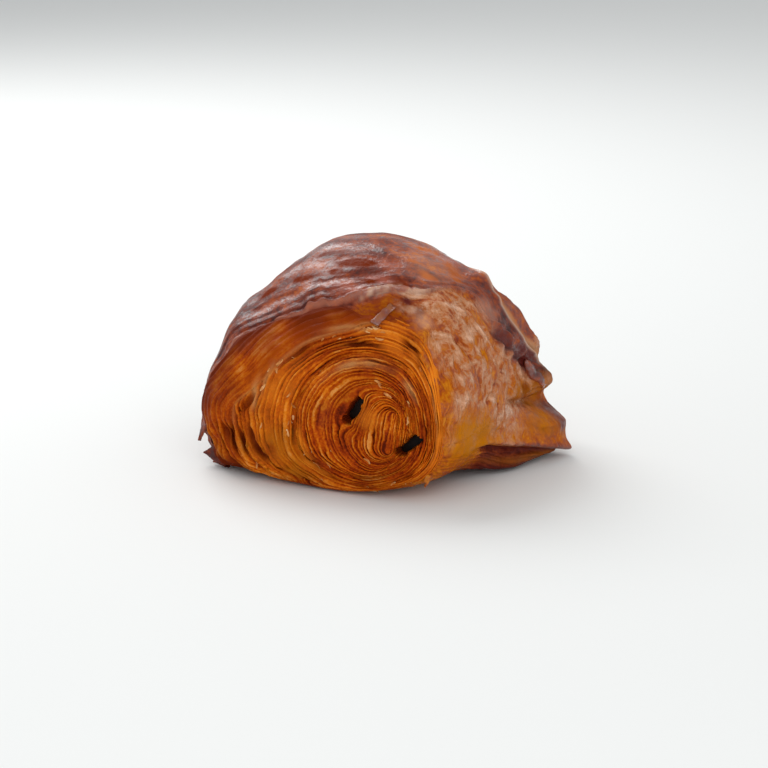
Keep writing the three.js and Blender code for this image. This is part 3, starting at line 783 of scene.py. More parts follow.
# %% [markdown]
# ## The front end
# The cut edges of the sheet show here, in two bundles: the tight inner roll, and the outer turns that have
# come away from it. Each leaf could be a strip of its own, wound round the last, but leaves merge and part,
# and strips would cross there. So each bundle is a disc whose surface the leaf tree raises: a grid from its
# middle to its edge, with a side wall and a plain back hidden in the roll, so that it is a closed solid.

# %% Slots of the chocolate sticks
SLOT = {"half length": 3.2, "half width": 0.95, "slope": 0.6, "depth": 11.0, "wear": 1.0}


def slot_depth(x, z, grid):
    """How far the surface sinks into the two slots that the sticks lie in."""
    depth = 0.0
    ragged = 0.35 * noise(grid, 1.6)
    for slot_x, slot_z, tilt in STICKS.values():
        away = bar_distance(x, z, (slot_x, slot_z), tilt, SLOT["half length"])[0] + ragged
        depth = depth + SLOT["depth"] * smooth(SLOT["half width"] + SLOT["slope"], SLOT["half width"], away)
        depth = depth + SLOT["wear"] * bell(away, 0, 2.6)
    return depth


# %% Gaps where leaves stand apart, as angle, share, half the arc, half the width in mm, depth and slant
GAPS = [(97, 0.548, 14, 0.55, 2.4, 0.0), (53, 0.632, 8, 0.45, 1.6, 0.0), (178, 0.7, 9, 0.35, 1.3, 0.0042),
        (140, 0.61, 12, 0.4, 1.4, 0.001), (197, 0.786, 9, 0.8, 3.2, 0.001), (201, 0.741, 7, 0.6, 2.4, 0.001),
        (196, 0.696, 6, 0.5, 2.0, 0.0), (207, 0.69, 6, 0.5, 2.2, 0.0), (213, 0.672, 6, 0.6, 3.0, 0.0),
        (195, 0.82, 7, 0.5, 2.2, 0.0), (197, 0.855, 7, 0.5, 2.0, 0.0), (30, 0.6, 16, 0.3, 1.0, 0.0),
        (8, 0.64, 18, 0.35, 1.2, 0.0), (-20, 0.56, 14, 0.35, 1.2, 0.0), (240, 0.66, 12, 0.4, 1.4, 0.0)]
# Spots of another colour, as angle, share, half the arc, half the width in mm and strength
SPOTS = {
    "ochre": [(203, 0.56, 15, 3.4, 0.75), (227, 0.61, 11, 2.4, 0.7)],
    # The gold spot at 12 degrees paints the leaves on the right lighter, as painted light where the light
    # falls on that side.
    "gold": [(200, 0.465, 14, 0.7, 0.6), (222, 0.512, 12, 0.7, 0.9), (205, 0.72, 16, 4.0, 0.25),
             (12, 0.68, 34, 4.5, 0.85), (64, 0.58, 26, 3.0, 0.5), (165, 0.6, 24, 4.0, 0.4)],
    "pale": [(171, 0.672, 8, 0.45, 0.7), (160, 0.645, 8, 0.3, 0.6), (105, 0.435, 26, 0.9, 0.55),
             (42, 0.43, 9, 0.8, 0.7), (8, 0.6, 24, 0.5, 0.5), (97, 0.62, 14, 0.5, 0.6)],
    "plum": [(66, 0.44, 6, 1.3, 0.6), (165, 0.3, 20, 2.2, 0.35), (160, 0.83, 12, 1.0, 0.3)],
    "brown": [(226, 0.485, 14, 0.5, 0.6), (214, 0.95, 10, 3.4, 1.1)],
    "amber": [(120, 0.67, 45, 3.0, 0.5)],
    "flaky": [(86, 0.635, 11, 0.8, 1.0), (112, 0.6, 10, 0.8, 0.6), (66, 0.44, 8, 1.2, 0.2),
              (172, 0.52, 16, 1.0, 0.15), (150, 0.64, 16, 0.8, 0.2)]}
FLAKY_EVERYWHERE = 0.012
DOME = {"x": 17.6, "z": 23.2, "radius": 3.6, "rise": 0.9}


def gap_depth(share, angle):
    depth = 0.0
    for at, across, span, width, deep, slant in GAPS:
        line = across + slant * (angle - at)
        depth = depth + deep * bell(angle, at, span) * bell((share - line) * CORE_SPREAD, 0, width)
    return depth


def spots(kind, share, angle, grid):
    amount = 0.0
    for at, across, span, width, strength in SPOTS[kind]:
        amount = amount + strength * bell(angle, at, span) * bell((share - across) * CORE_SPREAD, 0, width)
    return np.clip(amount * (1.15 + 0.7 * noise(grid, 3)), 0, 1)


def ground(z):
    """0 on the surface that the roll rests on, where it is pressed flat, and 1 above it."""
    return smooth(0.5, 4, z)


def sunken(grid, sink):
    """An end's grid moved along its normals, less near the ground and never below it."""
    grid = grid + grid_normals(grid) * (sink * mix(0.3, 1, ground(grid[..., 2])))[..., None]
    grid[..., 2] = np.maximum(grid[..., 2], 0)
    return grid


# The side wall and back of a disc, as how far inwards from its edge and how deep in the roll each row lies
BACK = ((0.3, 2), (0.6, 5), (0.9, 9), (1, 13), (8, 14))


def side_and_back(grid, inwards):
    """Rows that follow a disc's edge into the roll and then close behind it, deeper than the slots."""
    last = grid[-1]
    middle = np.array([last[:, 0].mean(), 0, last[:, 2].mean()])
    toward = (middle - last) * (1, 0, 1)
    toward /= np.linalg.norm(toward, axis=-1, keepdims=True)
    rows = [last + toward * inset + (0, inwards * deep, 0) for inset, deep in BACK]
    return np.concatenate([grid, np.array(rows)])


def carry(values, rows):
    """A value for the added rows too, the same as at the disc's edge."""
    return np.concatenate([values, np.repeat(values[-1:], rows - len(values), 0)])


# %% The tight inner roll
CORE = {"columns": 640, "rows": 120, "middle": 0.02, "leaf": 0.86}


def front_core():
    angle = np.linspace(-90, 270, CORE["columns"], endpoint=False)[None, :]
    share = np.linspace(CORE["middle"], PLUG_SHARE, CORE["rows"])[:, None] + 0 * angle
    angle = angle + 0 * share
    grid = roll_point(share, angle, -dome_reach(share, angle))
    x, z = grid[..., 0], grid[..., 2]
    dome = np.exp(-((np.hypot(x - DOME["x"], z - DOME["z"]) / DOME["radius"]) ** 4))
    slots = slot_depth(x, z, grid)
    turn = uneven(whorl(share, x, z) / CORE["leaf"])
    depth = mix(0.7, 1.0, smooth(0.3, 0.45, share)) * (1 - 0.7 * dome) * mix(0.35, 1, smooth(1.5, 5, turn))
    edge_drop = mix(0.9, 2.8, arc("left leaves", angle)) * smooth(PLUG_SHARE - 0.025, PLUG_SHARE, share)
    sink = slots - 0.7 * smooth(0.3, 0.42, share) - DOME["rise"] * dome + edge_drop + 0.3 * noise(grid, 5)
    paint = {kind: spots(kind, share, angle, grid) for kind in ("ochre", "pale", "plum", "amber", "gold")}
    paint["gold"] = np.maximum(paint["gold"], 0.45 * dome)
    # Brown: the dough's own uneven browning, and painted shade down in the slots of the sticks.
    paint["brown"] = np.clip(0.2 + 0.35 * noise(grid, 6) + 0.6 * smooth(0.3, 3, slots), 0, 1)
    paint["flaky"] = (FLAKY_EVERYWHERE + spots("flaky", share, angle, grid)) * (slots < 0.1)
    return sunken(grid, sink), {"turn": turn, "depth": depth * ground(z), **paint}


def finish_disc(name, grid, attributes, front_pole, inwards, outward, values):
    """Closes a disc, makes the mesh and raises its leaves."""
    rows = side_and_back(grid, inwards)
    attributes = {title: carry(part, len(rows)) for title, part in attributes.items()}
    attributes["depth"][len(grid):] = 0
    piece = grid_piece(name, rows, attributes, poles=(front_pole, rows[-1].mean(0)), outward=outward)
    return run_tree(piece, LEAF_TREE, {"Material": LEAVES, **values})


LEAF_TREE = leaf_tree()
print("the leaf tree has", len(LEAF_TREE.nodes), "nodes")
grid, attributes = front_core()
core = finish_disc("front_core", grid, attributes, grid[0].mean(0), 1, False,
                   {"Depth": 0.9 * MM, "Waviness": 1.7, "Wave size": 6 * MM, "Gaps": 0.9, "Fine": 0.6,
                    "Seed": 0.3})


# %% The turns round it
TURNS = {"columns": 680, "rows": 138, "inner": 0.035, "outer": 0.045, "leaves": (7, 13), "wide leaf": 1.1,
         "held above": 0.99, "held to": 0.2}


def turns_paint(share, angle, grid, covered, gap):
    """What is painted on the outer turns, where covered is 1 on the smooth turn under the rim."""
    edge = np.clip((crust_edge(angle) - share) * CORE_SPREAD, 0, 9)
    paint = {kind: spots(kind, share, angle, grid) for kind in ("pale", "plum", "gold", "ochre")}
    paint["pale"] = np.maximum(
        paint["pale"], 0.5 * bell((share - second_edge(angle)) * CORE_SPREAD, 0, 0.35) * covered)
    paint["amber"] = np.clip(spots("amber", share, angle, grid) + 0.42 * covered, 0, 1)
    paint["gloss"] = covered * np.clip(0.25 * noise(grid, 3, 6), 0, 1) * (1 - np.exp(-edge / 4))
    paint["even"] = 0.85 * covered
    # Painted shade: darker under the crust's rim and down in the gaps between leaves; the brown spots are the
    # dough's own colour.
    shade = np.exp(-edge / 1.5) * arc("under rim", angle)
    dark = shade + spots("brown", share, angle, grid) + 0.4 * np.minimum(gap, 2)
    paint["brown"] = np.clip(dark + 0.05 + mix(0.3, 0.4, covered) * noise(grid, 6), 0, 1)
    paint["flaky"] = (FLAKY_EVERYWHERE + spots("flaky", share, angle, grid)) * (1 - covered)
    paint["flaky"][-1] = 0
    return paint


def front_turns():
    angle = columns(TURNS["columns"], (0.4, 205, 35))[None, :]
    steps = np.linspace(0, 1, TURNS["rows"])[:, None]
    share = mix(PLUG_SHARE - TURNS["inner"], crust_edge(angle) + TURNS["outer"], steps)
    angle = angle + 0 * share
    notch = NOTCH["deep"] * bell(angle, NOTCH["angle"], NOTCH["span"]) * smooth(0.8, 0.94, share)
    # The rows that run on under the crust are held inside the section, where every point has a place
    held = np.minimum(share, mix(TURNS["held above"], share, TURNS["held to"]))
    grid = roll_point(held, angle, -dome_reach(held, angle), -notch)
    inner_line, outer_line = second_edge(angle), crust_edge(angle)

    soft = mix(0.006, 0.035, arc("soft cover", angle))
    covered = smooth(-soft, soft, share - inner_line) * smooth(-0.002, 0.02, outer_line - inner_line)
    covered = covered * through(BARE, angle, 2)
    gap = gap_depth(share, angle) * (1 - covered)
    paint = turns_paint(share, angle, grid, covered, gap)

    few, many = TURNS["leaves"]
    pages = mix(few, many, arc("pages", angle))
    turn = uneven(pages * (share - PLUG_SHARE) / (inner_line - PLUG_SHARE))
    wide = many + (share - inner_line) * CORE_SPREAD / TURNS["wide leaf"]
    turn = np.where(share > inner_line, wide, turn) - angle / 360
    depth = mix(mix(0.7, 1.5, arc("pages", angle)), 0.28, covered) * (1 - 0.85 * paint["ochre"])
    depth = depth * (1 - 0.35 * arc("right leaves", angle)) * smooth(0.02, -0.01, share - outer_line)

    sink = mix(1.0, 2.2, arc("left leaves", angle)) * smooth(PLUG_SHARE + 0.02, PLUG_SHARE - 0.015, share)
    sink = sink + gap - 0.9 * covered - 1.3 * paint["ochre"]
    sink = sink + mix(0.5, 1.4, arc("under rim", angle)) * smooth(0, 0.03, share - outer_line)
    depth = depth * ground(grid[..., 2])
    grid = sunken(grid, sink + 0.3 * noise(grid, 5))
    grid[0] = grid[1] + (0, 13, 0)
    depth[:2] = 0
    return grid, {"turn": turn, "depth": depth, **paint}


grid, attributes = front_turns()
outer = finish_disc("front_turns", grid, attributes, grid[0].mean(0) + (0, 1, 0), 1, False,
                    {"Depth": 1.0 * MM, "Waviness": 0.9, "Wave size": 14 * MM, "Gaps": 0.9, "Fine": 0.6,
                     "Seed": 0.7})

# %% [markdown]
# ## The crust
# The outermost turn of the sheet is the crust. On the real roll it is a skin about 1.5 mm thick that wraps
# the dough, with a ragged front edge and a rear edge that lifts into the lip. A copy of the solid's skin
# could be sculpted, but its edges have to follow the lines above. So it is made as one closed shell: an outer
# surface with all the relief, a rounded rim at each edge, and a plain inner wall. The same tree that raises
# the leaves raises its bands, because they are leaves too, glazed over.

# %% Bands and spots of the crust
SHELL = 1.5
BANDS = {"first": 1.1, "growth": 0.16, "depth": 0.24}
SMOOTH_PATCH = {"y": -25, "angle": 92, "reach": 3, "span": 13}
# Spots of another colour, as y, angle, half the width in mm, half the arc and strength
CRUST_SPOTS = {
    "amber": [(-17.2, 134, 1.6, 5, 0.9), (-19.2, 114, 1.3, 5.5, 0.9), (-15.4, 88, 2.5, 9, 1.0),
              (-18.6, 98, 1.4, 3.5, 0.9), (-21.6, 80, 1.3, 4, 0.9), (-19.6, 66, 1.6, 3.5, 0.9),
              (-25.1, 154, 0.9, 4, 0.8), (-11, 101, 1.2, 6, 0.6), (4, -2.5, 6, 3.5, 0.4),
              (17, -6.5, 7, 3.5, 0.5)],
    "honey": [(2.4, 66, 2.2, 5, 0.8), (-1, 51.5, 3.5, 5, 0.8), (-5.8, 48, 2.0, 3, 0.8),
              (-12.8, 56, 1.6, 4.5, 0.8), (-9.5, 66, 1.2, 3, 0.6)],
    "plum": [(-3, 20, 4.5, 4.5, 0.7), (6, 13, 4.5, 3.5, 0.8), (12, 8, 3.5, 3.5, 0.9),
             (-24.4, 60.2, 1.1, 2.4, 0.85), (-25.8, 53, 1.6, 3.2, 0.6), (9, -2, 2, 2, 0.4),
             (20.5, -14, 3, 4, 0.95), (4, -30, 30, 5.5, 0.7)],
    "ochre": [(-24, -12, 8, 9, 0.95), (-31, -8, 4, 10, 0.6), (4, -1.5, 7, 4.5, 0.45), (17, -5, 7, 4.5, 0.45),
              (11, -13, 8, 4, 0.45), (8, -26, 20, 2, 0.5)],
    # The blush spots at 32 and 56 degrees paint a rosy sheen on the lip and the upper right.
    "blush": [(-25, 91, 2.4, 12, 0.55), (-20, 76, 2.0, 9, 0.55), (-14, 76, 2.5, 8, 0.4),
              (-5, 32, 4.5, 5, 0.4), (2, 56, 6, 6, 0.4)],
    # The pale spots at 31 and 58 degrees paint a sheen on the lip and the upper right.
    "pale": [(-5, 31, 4.5, 5, 0.22), (-8, 58, 7, 9, 0.14), (-27.4, 48, 1.6, 6, 0.35)]}
SOFT_EDGE, SHARP_EDGES = 1.5, {"amber": 2.5, "honey": 2}


def crust_spots(kind, y, angle, grid):
    amount = 0.0
    sharpness = SHARP_EDGES.get(kind, SOFT_EDGE)
    ragged = 1 + 0.5 * (sharpness - SOFT_EDGE) * noise(grid, (4, 1.6, 4), 5)
    for at_y, at_angle, width, span, strength in CRUST_SPOTS[kind]:
        away = ((y - at_y) / width) ** 2 + ((angle - at_angle) / span) ** 2
        amount = amount + strength * np.exp(-((away * ragged ** 2) ** sharpness))
    return np.clip(amount * (1.15 + 0.6 * noise(grid, 2.5)), 0, 1)


# %% Rows round a shell
def shell_profile(rows, inner_rows):
    """The share of the way to the rear edge, the depth below the skin and the overhang of each row."""
    turn = np.linspace(0, np.pi, 7)[1:-1]
    rear = [(1, SHELL / 2 * (1 - np.cos(t)), 0.6 * np.sin(t)) for t in turn]
    inner = [(v, SHELL, 0) for v in np.linspace(1, 0, inner_rows)]
    front = [(0, SHELL / 2 * (1 + np.cos(t)), -0.6 * np.sin(t)) for t in turn]
    return (np.array(column)[:, None] for column in zip(*([(v, 0, 0) for v in rows] + rear + inner + front)))


# %% Hem, tip and creases
# Where the tail's rolled hem lies, as (y, angle), and its measures with those of the seam under it
HEM_LINE = [(-24, -14), (-16, -15.2), (-8, -17.6), (4, -19.2), (12, -20.2), (21, -22.6), (30, -24)]
HEM = {"rise": 1.2, "span": 1.5, "seam": -2.9, "deep": 1.7, "seam span": 1.1, "back": 0.7}
TIP = {"angle": -24, "y": 23, "rise": 1.4, "span": 3.0, "reach": 5}
# Creases of the skin, as height and half the width in mm, and the (y, angle) places that each runs through
CREASES = [(-0.9, 0.8, ((-19.3, 1), (-10.5, 7.5), (-6, 10.5))),
           (-1.2, 0.9, ((-5, -3), (7, -7.2), (13, -8.8), (24, -11.4))),
           (-0.9, 0.45, ((-12.6, -2), (-12, -10))),
           (1.0, 1.1, ((-7, 27), (0, 19), (8, 12.5), (13, 8.5))),
           (-0.6, 0.9, ((-9, 24), (-3, 16.5), (5, 10.5), (11, 6))),
           (0.6, 0.9, ((-22, 48), (-15, 30), (-12, 18), (-9, 12))),
           (0.5, 0.8, ((-16, 50), (-10, 34), (-4, 24))),
           (-0.5, 0.7, ((-26, 30), (-23, 16), (-22, 2))),
           (0.5, 0.8, ((-20, -3), (-16, -9), (-8, -12))),
           (-0.5, 0.8, ((4, -12), (10, -15), (17, -14)))]


def hem_relief(angle, y):
    """The rolled hem of the tail, the sunken seam under it and the pointed tip."""
    below = angle - through(HEM_LINE, y, 1)
    hem = HEM["rise"] * bell(below, 0, HEM["span"]) - HEM["deep"] * bell(below, HEM["seam"], HEM["seam span"])
    hem = hem - HEM["back"] * smooth(-2.5, -4, below) * smooth(-14, -9, below)
    tip = TIP["rise"] * bell(angle, TIP["angle"], TIP["span"]) * bell(y, TIP["y"], TIP["reach"])
    return hem * smooth(-26, -14, y) + tip


# %% Where the crust's points lie
CRUST_GRID = {"columns": 460, "rows": 192, "inner rows": 14}
FRONT_EDGE = {"thin": 0.5, "thick at": 6}
FRAY = ((0.5, 7, 0.5), (0.35, 17, 0), (0.25, 41, 1))
LIP_GRAIN = (1.8, 3.2, 2.6)
SWELL_LENGTH = 9


def crust_places():
    """The shell's points on the plain roll, and how near each lies to the crust's lines and zones."""
    rows = spread(0, 1, CRUST_GRID["rows"], lambda v: 1 + 1.5 * bell(v, 0, 0.08) + 1.2 * bell(v, 1, 0.08))
    v, sunk, over = shell_profile(rows, CRUST_GRID["inner rows"])
    angle = columns(CRUST_GRID["columns"], (1.5, -12, 20), (0.3, 196, 30))[None, :] + 0 * v
    lively = arc("lively", angle)
    ragged = sum(height * np.sin(waves * np.radians(angle) + phase) for height, waves, phase in FRAY) * lively
    front_y = -dome_reach(crust_edge(angle), angle) + ragged
    crest_y = crest(angle)
    y = mix(front_y, crest_y, v) + over
    from_edge = y - front_y
    base = roll_point(dome_share(y, angle), angle, y)
    rim_y = through(RIM, angle, 3) + (0.6 + 1.2 * smooth(52, 36, angle)) * noise(base, 7, 4)
    rim_y = rim_y + 0.3 * noise(base, 2.2, 5)
    on_rim = arc("rim", angle)
    behind = y - mix(front_y, np.maximum(rim_y, front_y), on_rim)
    return SimpleNamespace(
        angle=angle, y=y, base=base, from_edge=from_edge, crest_y=crest_y, behind=behind,
        on_rim=on_rim, off_rim=1 - on_rim, lively=lively, ragged=ragged,
        sunk=sunk * mix(FRONT_EDGE["thin"], 1, smooth(0, FRONT_EDGE["thick at"], from_edge)),
        below=angle - through(HEM_LINE, y, 1),
        on_lip=arc("lip top", angle) * smooth(-10, -4, y) * smooth(-0.2, -1.8, y - crest_y),
        on_bulge=arc("bulge", angle) * within((-4, 2, 20, 24), y),
        on_tail=smooth(-4, -12, angle) * smooth(-8, 8, y),
        creases=[(height, near_line(y, angle, places, width)) for height, width, places in CREASES])


# %% Bands and relief of the crust
def crust_bands(at):
    """The count of bands up to each point, and how deep they are."""
    distance = np.maximum(at.behind + at.ragged * at.off_rim, 0)
    turn = distance / (BANDS["first"] + BANDS["growth"] * distance)
    turn = np.where(at.behind * at.on_rim < 0, at.from_edge / 1.4 + 0.4 * noise(at.base, 7), turn)
    turn = np.where(at.below < HEM["seam"], at.below / 2.2 + 0.3 * noise(at.base, 9), turn)

    patch = bell(at.y, SMOOTH_PATCH["y"], SMOOTH_PATCH["reach"])
    patch = patch * bell(at.angle, SMOOTH_PATCH["angle"], SMOOTH_PATCH["span"])
    banded = arc("bands", at.angle) * smooth(-0.6, 0.6, at.behind + 60 * at.off_rim) * (1 - 0.8 * patch)
    lines = arc("side", at.angle) * smooth(9, 2, at.from_edge)
    under = smooth(-3, -4.5, at.below) * smooth(-70, -55, at.angle) * smooth(-24, -14, at.y)
    depth = BANDS["depth"] * banded * (1 - 0.8 * crust_spots("amber", at.y, at.angle, at.base))
    depth = depth + 0.5 * lines * (1 - under) + 0.6 * under
    return turn, depth * np.where(at.sunk > 0, 0, 1)


def crust_relief(at):
    """How far the crust stands above the plain roll: rim, lip, blisters, creases and the tail's hem."""
    bead = 0.35 * bell(at.behind, 0.5, 0.6) * (1 + 0.7 * noise(at.base, 5, 9))
    bead = bead + 0.55 * noise(at.base, 1.7, 21) * bell(at.behind, 0.6, 1.7)
    step = mix(0.25, 0.7, smooth(40, 60, at.angle)) * smooth(-0.3, 0.6, at.behind) * at.on_rim
    step = step + 0.4 * smooth(0, 0.8, at.from_edge) * arc("step", at.angle)
    tuck = -0.35 * arc("tuck", at.angle) * smooth(3, 0, at.from_edge)
    ridge = 0.9 * np.exp(-np.abs(at.y - at.crest_y) / 1.6) * arc("crest", at.angle)
    rough = 0.5 * noise(at.base, 8, 3) + 0.2 * noise(at.base, 3.2, 7)
    blister = 0.9 * np.maximum(noise(at.base, (2.6, 2.0, 3.6), 2), 0) * arc("shoulder", at.angle)
    blister = blister + 0.85 * noise(at.base, LIP_GRAIN, 8) * at.on_lip
    blister = blister + 1.1 * np.abs(noise(at.base, (2.6, 3.2, 2.6), 12)) * at.on_bulge
    creases = sum(height * line for height, line in at.creases)
    relief = step + bead * arc("bead", at.angle) + tuck + ridge + (rough + blister) * at.lively + creases
    return relief + skin_level(at.angle, at.y) + hem_relief(at.angle, at.y)


# %% What is painted on the crust
def crust_zones(at):
    """Adds to the places how far each is glazed, rimmed, crinkled or hemmed, and where slow bands of sheen
    run.
    """
    soft = mix(1.0, 3.5, smooth(56, 42, at.angle))
    glazed = smooth(-soft, soft, at.behind + 60 * at.off_rim * smooth(60, 90, at.angle))
    at.glazed = glazed * smooth(-6, 4, at.angle)
    at.strip = smooth(0.4, -0.4, at.behind) * arc("strip", at.angle)
    at.rim = bell(at.behind, 0.3, 0.6) * arc("rim glaze", at.angle)
    at.crinkled = bell(at.behind, 0.2, 1.2) * arc("crinkled", at.angle)
    at.hem = bell(at.below, -0.6, 1.1) * smooth(-16, -4, at.y)
    # Slow bands of sheen, in at.swell: the glaze is glossier along them, and crust_brown paints them a little
    # lighter as painted sheen. The crust's shape doesn't change there.
    waves = np.sin((at.y + 3 * noise(at.base, 15, 4)) * 2 * np.pi / SWELL_LENGTH)
    at.swell = waves * arc("swell", at.angle) * at.glazed
    return at


def crust_paint(at):
    """How strong each spot of another colour and the thin film are, with painted highlights and painted
    shade.
    """
    paint = {kind: crust_spots(kind, at.y, at.angle, at.base) for kind in CRUST_SPOTS}
    film = (1 - at.glazed) * arc("film", at.angle) * smooth(1, 5, at.from_edge + 3 * noise(at.base, 5))
    film = film * (1 - 0.85 * at.on_tail) * smooth(-2, -1, at.below)
    paint["mottle"] = film * (1 - 0.8 * paint["ochre"])
    # Painted highlights in pale: a line along the crest, a thin line along the rim and flecks on its
    # crinkles.
    crest_highlight = bell(at.y, at.crest_y + 0.1, 0.6) * arc("crest line", at.angle) * np.where(at.sunk < 1, 1, 0)
    dry = 0.14 * bell(at.behind, 0.35, 0.4) * arc("rim highlight", at.angle)
    crinkle_highlights = 0.7 * at.crinkled * np.clip(0.6 + 1.4 * noise(at.base, 1.5, 31), 0, 1)
    paint["pale"] = np.maximum(np.maximum(paint["pale"] + 0.75 * crest_highlight, dry), crinkle_highlights)
    paint["amber"] = np.maximum(paint["amber"], 0.5 * at.strip * smooth(-0.6, -2.5, at.behind))
    # Painted shade: the seam under the hem is painted dark plum.
    seam = bell(at.below, HEM["seam"], 1.2) * smooth(-20, -10, at.y)
    paint["plum"] = np.maximum(paint["plum"], 0.9 * seam)
    # Painted rosy sheen along the rim.
    paint["blush"] = np.maximum(paint["blush"], 0.5 * at.rim)
    return paint


def crust_gloss(at, paint):
    """How much clear glaze lies on each point of the crust."""
    gloss = mix(0.2, 0.31, at.glazed) + 0.25 * noise(at.base, 4, 2) * (1 - at.glazed)
    gloss = gloss * (1 + 0.45 * at.swell) + 0.18 * arc("glossy", at.angle) * smooth(-18, -8, at.y)
    duller = ((0.9, paint["amber"] * smooth(40, 46, at.angle)), (0.6, at.strip), (0.75, at.on_tail),
              (0.7, paint["ochre"] * smooth(-14, -20, at.y)), (0.6, at.on_bulge), (0.7, paint["honey"]))
    for share, where in duller:
        gloss = gloss * (1 - share * where)
    glossier = ((0.4, at.on_tail * paint["plum"]), (0.35, at.crinkled), (0.3, at.hem),
                (0.5, bell(at.y, at.crest_y, 0.8) * arc("crest line", at.angle)))
    for share, where in glossier:
        gloss = gloss + share * where
    return np.clip(gloss, 0, 1) * mix(1, 0.2, smooth(-2, -3, at.below))


def crust_brown(at, paint):
    """How brown each point of the crust is, on the scale of CRUST_TONES, with painted shade and sheen in it.
    """
    brown = mix(0.17, 0.6, at.glazed) + 0.14 * noise(at.base, 12, 1)
    # In the strip under the rim: amber, turning dark red-brown towards the rim, partly its own browning and
    # partly painted shade under the rim.
    brown = mix(brown, mix(0.3, 0.66, smooth(-2.6, -0.4, at.behind)), at.strip)
    brown = mix(brown, 0.56, 0.4 * at.rim)
    brown = brown - 0.14 * arc("upper right", at.angle) * smooth(-22, -12, at.y) + 0.16 * at.on_tail
    # Painted shade: darker along the sunken creases.
    brown = brown + sum(0.35 * np.maximum(-height, 0) * line for height, line in at.creases)
    # Painted sheen: a little lighter along the bands of sheen. The hem is the tail's own dark red-brown.
    brown = mix(brown - 0.07 * at.swell, 0.66, 0.8 * at.hem)
    brown = brown - 0.3 * noise(at.base, LIP_GRAIN, 8) * at.on_lip + 0.22 * at.on_bulge
    windows = paint["mottle"] * np.clip(0.6 + 1.5 * noise(at.base, 4, 33), 0, 1)
    brown = brown + 0.24 * smooth(14, 34, at.angle) * windows
    # Darker under the hem: the brown of the layer beneath, deepened with painted shade under the overhang.
    return mix(brown, 0.7, smooth(-2, -3.5, at.below) * smooth(-20, -8, at.y))


# %% The crust as a closed shell
def on_ground(grid, sunk):
    """Keeps a shell's points above the ground, the inner wall a little higher than the outer one."""
    grid[..., 2] = np.maximum(grid[..., 2], np.where(sunk > SHELL / 2, 0.4, 0.0))
    return grid


def crust_shell():
    at = crust_zones(crust_places())
    turn, depth = crust_bands(at)
    grid = roll_point(dome_share(at.y, at.angle), at.angle, at.y, crust_relief(at) - at.sunk)
    grid = on_ground(grid, at.sunk)
    paint = crust_paint(at)
    paint["gloss"] = crust_gloss(at, paint)
    paint["brown"] = crust_brown(at, paint)
    return grid, {"turn": turn, "depth": depth * ground(grid[..., 2]), **paint}


grid, attributes = crust_shell()
crust = grid_piece("crust", grid, attributes, outward=False)
crust = run_tree(crust, LEAF_TREE, {"Material": CRUST, "Depth": 1 * MM, "Waviness": 0.55,
                                    "Wave size": 18 * MM, "Gaps": 0.4, "Fine": 0.9, "Seed": 1.9})

# %% [markdown]
# ## The next turn, behind the lip
# Where the crust stops, the turn below it shows. It lies deeper, and it isn't glazed as thickly. The crust
# could run on and sink there, but then no edge would stand over it. So it is a shell of its own, made like
# the crust, which starts under the lip and runs to the rear end.

# %% The deeper turn at the rear
REAR_GRID = {"columns": 400, "rows": 96, "inner rows": 10, "overlap": 8}
VALLEY = {"width": 2.4, "depth": 2.2}


def rear_turn():
    v, sunk, over = shell_profile(np.linspace(0, 1, REAR_GRID["rows"]), REAR_GRID["inner rows"])
    angle = columns(REAR_GRID["columns"], (1.1, -14, 22))[None, :] + 0 * v
    edge_y, crest_y = dome_reach(CRUST_SHARE, angle), crest(angle)
    y = mix(crest_y - REAR_GRID["overlap"], edge_y, v) + over
    base = roll_point(dome_share(y, angle), angle, y)
    lip, past = arc("valley", angle), y - crest_y
    level = skin_level(angle, y) - 1.6 * smooth(0, -5, past) - 1.2 * (1 - lip) * smooth(1, -2, past)
    level = level - VALLEY["depth"] * lip * bell(past, 0.3, VALLEY["width"])
    rough = (0.45 * noise(base, 8, 3) + 0.3 * noise(base, 3.2, 7)) * arc("lively", angle)
    grid = on_ground(roll_point(dome_share(y, angle), angle, y, level + rough - sunk), sunk)

    valley = lip * smooth(4.5, 2.5, past)
    brown = mix(0.55, 0.4, lip) + 0.14 * noise(base, 10, 1) - 0.25 * lip * smooth(4, 1, past)
    mottle = 0.6 * arc("rear film", angle) * smooth(0.1, 0.4, noise(base, 6, 8))
    paint = {"brown": brown, "ochre": 0.85 * valley, "pale": 0.5 * valley, "gloss": 0.45 - 0.35 * valley,
             "plum": np.clip(0.2 * noise(base, 5, 2), 0, 1), "mottle": mottle}
    depth = 0.4 * arc("rear bands", angle) * np.where(sunk > 0, 0, 1)
    return grid, {"turn": (edge_y - y) / 4, "depth": depth, **paint}


grid, attributes = rear_turn()
rear = grid_piece("rear_turn", grid, attributes, outward=False)
rear = run_tree(rear, LEAF_TREE, {"Material": CRUST, "Depth": 1 * MM, "Waviness": 1.1, "Wave size": 14 * MM,
                                  "Gaps": 0.4, "Fine": 0.5, "Seed": 2.6})

# %% [markdown]
# ## Small loose pieces
# A glossy flap is rolled up at the low end of the lip. Thin scraps of single leaves stick out at the lower
# left, where the sheet tore, one lies on the smooth turn, and a drip of dough hangs at the right foot. They
# could be pulled out of the crust's grid, but its cells are wider than they are thin. So the flap is a tube
# with a changing radius, and a scrap is a thin wavy blade from a root to a tip.

# %% The rolled flap on the lip, as y, angle and radius
FLAP = [(10.5, 7, 0.6), (11.8, 5.5, 1.4), (13.4, 3.5, 1.8), (15.4, 1, 1.9), (17.4, -1.5, 1.75),
        (18.8, -3.4, 1.3), (19.6, -4.6, 0.6)]
FLAP_SIDES = {"rows": 36, "columns": 28, "wide": 1.15, "high": 0.7, "uneven": 0.34, "end": 0.3}


